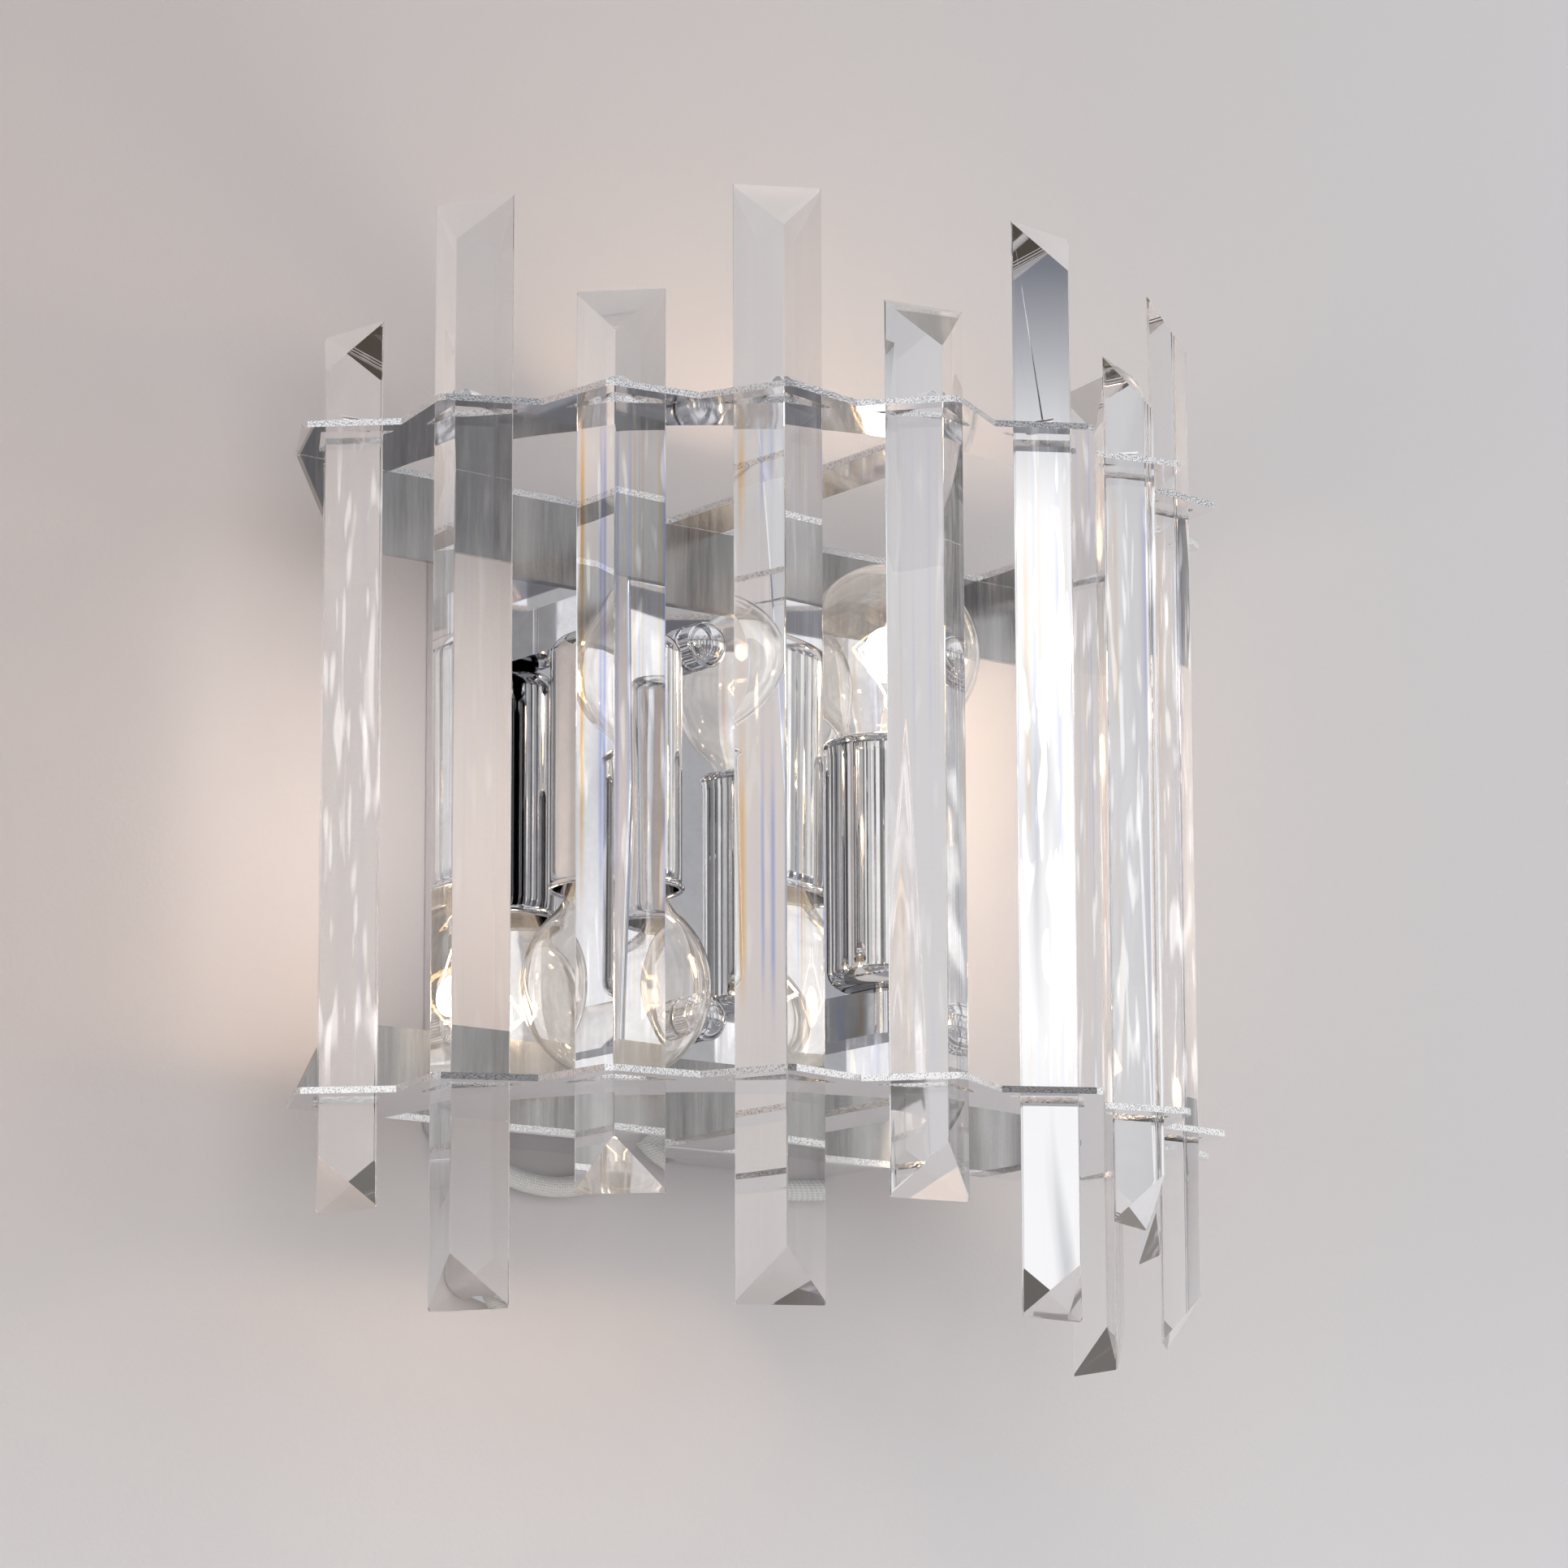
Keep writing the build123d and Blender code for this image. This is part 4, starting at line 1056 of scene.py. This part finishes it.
# ---- cover nuts
@dataclass
class CoverNuts:
    """Knurled thumb nuts with polished domes. Each bead is given in millimetres as (inset, distance)."""

    finishes: Finishes
    knurl: NodeShape
    stud_z: float = 46.0 * MM
    seat_y: float = -23.8 * MM
    collar_r: float = 5.7 * MM
    knurl_r: float = 5.35 * MM
    collar_length: float = 6.2 * MM
    seat_bead: Pairs = ((0.65, 0.0), (0.1, 0.3), (0.0, 0.6), (0.2, 0.8), (0.35, 0.9))
    dome_bead: Pairs = ((0.35, -0.9), (0.2, -0.8), (0.0, -0.6), (0.3, -0.1))
    dome_r: float = 5.6 * MM
    dome_height: float = 3.6 * MM
    bore_r: float = 2.1 * MM
    bore_depth: float = 6.0 * MM
    rib_count: int = 44
    rib_size: float = 0.42 * MM
    rib_ends: float = 0.9 * MM

    def build(self) -> None:
        """Makes both nuts."""
        for end in Ends:
            self.build_one(end)
        log.info("cover nuts made")

    def build_one(self, end: Ends) -> None:
        """Makes one nut: a turned body and its ribs.

        Args:
            end: Which nut it is.
        """
        length, z = self.collar_length, end.value * self.stud_z
        drop = self.dome_r - self.dome_height
        rim = math.degrees(math.asin(drop / self.dome_r))
        outline = [(self.bore_r, 0.0)]
        for start, bead in ((0.0, self.seat_bead), (length, self.dome_bead)):
            outline += [(self.collar_r - inset * MM, start + t * MM) for inset, t in bead]
        outline += arc((0.0, length - drop), self.dome_r, rim, 90, 14)[:-1]
        outline += [(0.0, length + self.dome_height), (0.0, self.bore_depth), (self.bore_r, self.bore_depth)]
        mesh = lathe(f"{end.word}_thumb_nut", outline, (0.0, 0.0), 64)
        mesh.transform(Matrix.Translation((0.0, self.seat_y, z)) @ Matrix.Rotation(math.pi / 2, 4, "X"))
        nut = add_piece(mesh, 30.0)
        self.knurl.run(nut, {
            "Count": self.rib_count, "Radius": self.knurl_r,
            "Rib Size": (self.rib_size, self.rib_size, length - 2 * self.rib_ends),
            "Place": (0.0, self.seat_y - length / 2, z),
            "Material": self.finishes.materials["chrome_fittings"],
        })
        nut.data.set_sharp_from_angle(angle=math.radians(35))
        self.finishes.fit(nut, "chrome_fittings", f"{end.word}_nut", f"{end.word}_cover_nut")


# ---- studio
@dataclass(frozen=True)
class Light:
    """A round lamp, for a lit bulb or light that the prisms scatter, or a soft square one."""

    name: str
    place: Point
    watts: float
    size: float
    colour: Colour
    kind: str = "POINT"
    mirrored: bool = False

    def add(self, target: Point) -> None:
        """Adds the lamp to the scene.

        Args:
            target: Where a square lamp looks.
        """
        data = bpy.data.lights.new(self.name, self.kind)
        data.energy = self.watts
        data.color = self.colour
        lamp = add_object(self.name, data)
        lamp.location = self.place
        lamp.visible_glossy = lamp.visible_transmission = self.mirrored
        if self.kind == "AREA":
            data.shape = "RECTANGLE"
            data.size = data.size_y = self.size
            lamp.rotation_euler = (Vector(target) - Vector(self.place)).to_track_quat("-Z", "Y").to_euler()
        else:
            data.shadow_soft_size = self.size


BULB_LIGHT = (1.0, 0.78, 0.58)
PRISM_LIGHT = (1.0, 0.93, 0.87)


@dataclass
class Studio:
    """Pale wall behind the light, soft lamps and the camera of the photograph. Angles are in degrees."""

    # Pale wall paint with painted light: darker and warmer on the left as painted shade and warm glow,
    # brighter and cooler on the right, and brighter low down, standing in for light that fills the shade under
    # the sconce.
    wall_left_painted_shade: Colour = (0.58, 0.515, 0.495)
    wall_right_painted_light: Colour = (0.745, 0.748, 0.772)
    wall_low_painted_light: Colour = (0.86, 0.855, 0.875)
    wall_gap: float = 0.4 * MM
    wall_half: tuple[float, float] = (1.6, 1.6)
    wall_hole: tuple[float, float] = (60.0 * MM, 75.5 * MM)
    plain_light: Colour = (1.0, 0.99, 0.99)
    plain_strength: float = 0.58
    backdrop: Colour = (0.64, 0.63, 0.64)
    # Brightness round the room at the light's height, from the right through the front to the left.
    room: Pairs = (
        (0.0, 0.85), (14.0, 0.98), (37.0, 1.0), (43.0, 0.50), (64.0, 0.44), (69.0, 1.0), (85.0, 1.0),
        (89.0, 0.36), (97.0, 0.20), (121.0, 0.18), (127.0, 0.48), (134.0, 1.0), (151.0, 1.0), (158.0, 0.66),
        (180.0, 0.72),
    )
    # Colours above and below it, and how much the row round the room shows at each height.
    heights: Stops = (
        (-90.0, (0.34, 0.34, 0.38)), (-32.0, (0.24, 0.235, 0.24)), (-8.0, (0.16, 0.16, 0.18)),
        (12.0, (0.62, 0.63, 0.67)), (26.0, (0.50, 0.52, 0.57)), (42.0, (0.90, 0.90, 0.93)),
        (90.0, (0.96, 0.96, 0.98)),
    )
    band: Stops = ((-10.0, 0.0), (-5.0, 1.0), (14.5, 1.0), (17.5, 0.0))
    dusk: Colour = (0.10, 0.11, 0.15)
    folds: Colour = (0.40, 0.41, 0.45)
    target: Point = (0.0, -0.06, 0.0)
    lights: tuple[Light, ...] = (
        Light("right softbox", (1.1, -1.5, 0.15), 5.5, 1.4, (0.97, 0.98, 1.0), "AREA"),
        Light("left softbox", (-0.8, -1.7, 0.0), 6.0, 1.4, (1.0, 0.96, 0.93), "AREA"),
        Light("left bulb glow", (-0.041, -0.049, -0.0465), 0.075, 0.005, BULB_LIGHT, mirrored=True),
        Light("right bulb glow", (0.041, -0.049, 0.0465), 0.25, 0.006, BULB_LIGHT, mirrored=True),
        Light("left prism glow", (-0.080, -0.060, 0.0), 0.088, 0.025, PRISM_LIGHT),
        Light("right prism glow", (0.080, -0.075, 0.0), 0.065, 0.030, PRISM_LIGHT),
    )
    lens: float = 120.47
    film: float = 36.0
    shift_y: float = 0.15
    camera: Point = (-0.7436, -1.0315, -0.2484)
    turn: float = 37.43
    pitch: float = 9.188
    roll: float = -0.199

    def build(self) -> None:
        """Makes wall, surroundings, lamps and camera."""
        self.build_wall()
        self.build_world()
        for light in self.lights:
            light.add(self.target)
        self.build_camera()
        log.info("studio made")

    def build_wall(self) -> None:
        """Makes the wall as a stage piece that is clear from behind, open where the cover closes it."""
        mesh = bpy.data.meshes.new("studio_wall")
        corners = [(x * w, self.wall_gap, z * h) for w, h in (self.wall_half, self.wall_hole)
                   for x, z in ((-1, -1), (1, -1), (1, 1), (-1, 1))]
        mesh.from_pydata(corners, [], [(k, (k + 1) % 4, (k + 1) % 4 + 4, k + 4) for k in range(4)])
        wall = add_object(mesh.name, mesh)
        draft = Draft("matt wall paint and painted light")
        graph = draft.graph
        across, _, level = graph.split(draft.place)
        # Painted light across the wall: painted shade and warm glow to the left, brighter to the right, and
        # painted light low down.
        sides = graph.blend(graph.range(across, -0.40, 0.50), self.wall_left_painted_shade, self.wall_right_painted_light)
        lower = graph.range(level, -0.19, -0.06, 0.60, 0.0)
        draft.set({"Base Color": graph.blend(lower, sides, self.wall_low_painted_light), "Roughness": 0.9})
        draft.bump(graph.noise(draft.place, 900.0, 3.0), 0.00008)
        draft.open(graph.add("ShaderNodeNewGeometry").outputs["Backfacing"])
        mesh.materials.append(draft.material)

    @staticmethod
    def by_height(graph: Graph, raised: Socket, stops: Stops) -> Socket:
        """Reads a colour by its angle over the horizon, where raised runs from 0, down, to 1, up."""
        rows = tuple(((1.0 + math.sin(math.radians(angle))) / 2.0, colour) for angle, colour in stops)
        return graph.ramp(raised, rows)

    def build_world(self) -> None:
        """Makes the surroundings: a row of pale and dark stretches round the room under a grey ceiling."""
        world = bpy.data.worlds.new("studio")
        bpy.context.scene.world = world
        world.use_nodes = True
        world.node_tree.nodes.clear()
        graph = Graph(world.node_tree)
        direction = graph.add("ShaderNodeTexCoord").outputs["Generated"]
        x, y, z = graph.split(direction)
        turn = graph.math("DIVIDE", graph.math("ARCTAN2", graph.math("ABSOLUTE", y), x), math.pi)
        raised = graph.range(z, -1.0, 1.0)
        around = graph.ramp(turn, tuple((a / 180.0, (0.985 * g, 0.985 * g, g)) for a, g in self.room))
        corner = graph.times(graph.range(z, 0.22, 0.28), graph.range(z, 0.48, 0.68, 1.0, 0.0))
        dark = graph.times(graph.range(turn, 0.25, 0.40, 1.0, 0.0), corner)
        height = graph.blend(dark, self.by_height(graph, raised, self.heights), self.dusk)
        seen = graph.blend(self.by_height(graph, raised, self.band), height, around)
        folded = graph.range(graph.noise(direction, 7.0, distortion=1.6), 0.52, 0.66, 0.0, 0.55)
        seen = graph.blend(folded, seen, self.folds)
        kinds = ((seen, 1.0), (self.plain_light, self.plain_strength), (self.backdrop, 1.0))
        mirrored, plain, white = (graph.add("ShaderNodeBackground", {0: colour, 1: strength}).outputs[0]
                                  for colour, strength in kinds)
        ray = graph.add("ShaderNodeLightPath").outputs
        direct = graph.math("ADD", ray["Is Glossy Ray"], ray["Is Transmission Ray"], clamp=True)
        surface = graph.mix(ray["Is Camera Ray"], graph.mix(direct, plain, mirrored), white)
        graph.add("ShaderNodeOutputWorld", {"Surface": surface})

    def build_camera(self) -> None:
        """Sets the camera at the photograph's place and angle."""
        turn, pitch, roll = (math.radians(v) for v in (self.turn, self.pitch, self.roll))
        forward = Vector((math.sin(turn) * math.cos(pitch), math.cos(turn) * math.cos(pitch), math.sin(pitch)))
        level = Vector((math.cos(turn), -math.sin(turn), 0.0))
        right = level * math.cos(roll) + level.cross(forward) * math.sin(roll)
        axes = Matrix((right, right.cross(forward), -forward)).transposed()
        data = bpy.data.cameras.new("photo camera")
        data.lens, data.sensor_width, data.shift_y = self.lens, self.film, self.shift_y
        data.clip_start, data.clip_end = 0.01, 50.0
        camera = add_object(data.name, data)
        camera.matrix_world = Matrix.Translation(self.camera) @ axes.to_4x4()
        bpy.context.scene.camera = camera


def main() -> None:
    """Builds the studio, the lead and every dressed piece in order."""
    logging.basicConfig(level=logging.INFO)
    bpy.context.scene.view_settings.view_transform = "Standard"
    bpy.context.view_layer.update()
    Studio().build()
    finishes = Finishes()
    finishes.dress_nodes()
    SupplyLead(finishes).build()
    Prisms(finishes).build()
    coils, knurl = coil_tree(), knurl_tree()
    for side in Side:
        Lamp(side, finishes, coils).build()
    CoverNuts(finishes, knurl).build()


if __name__ == "__main__":
    main()
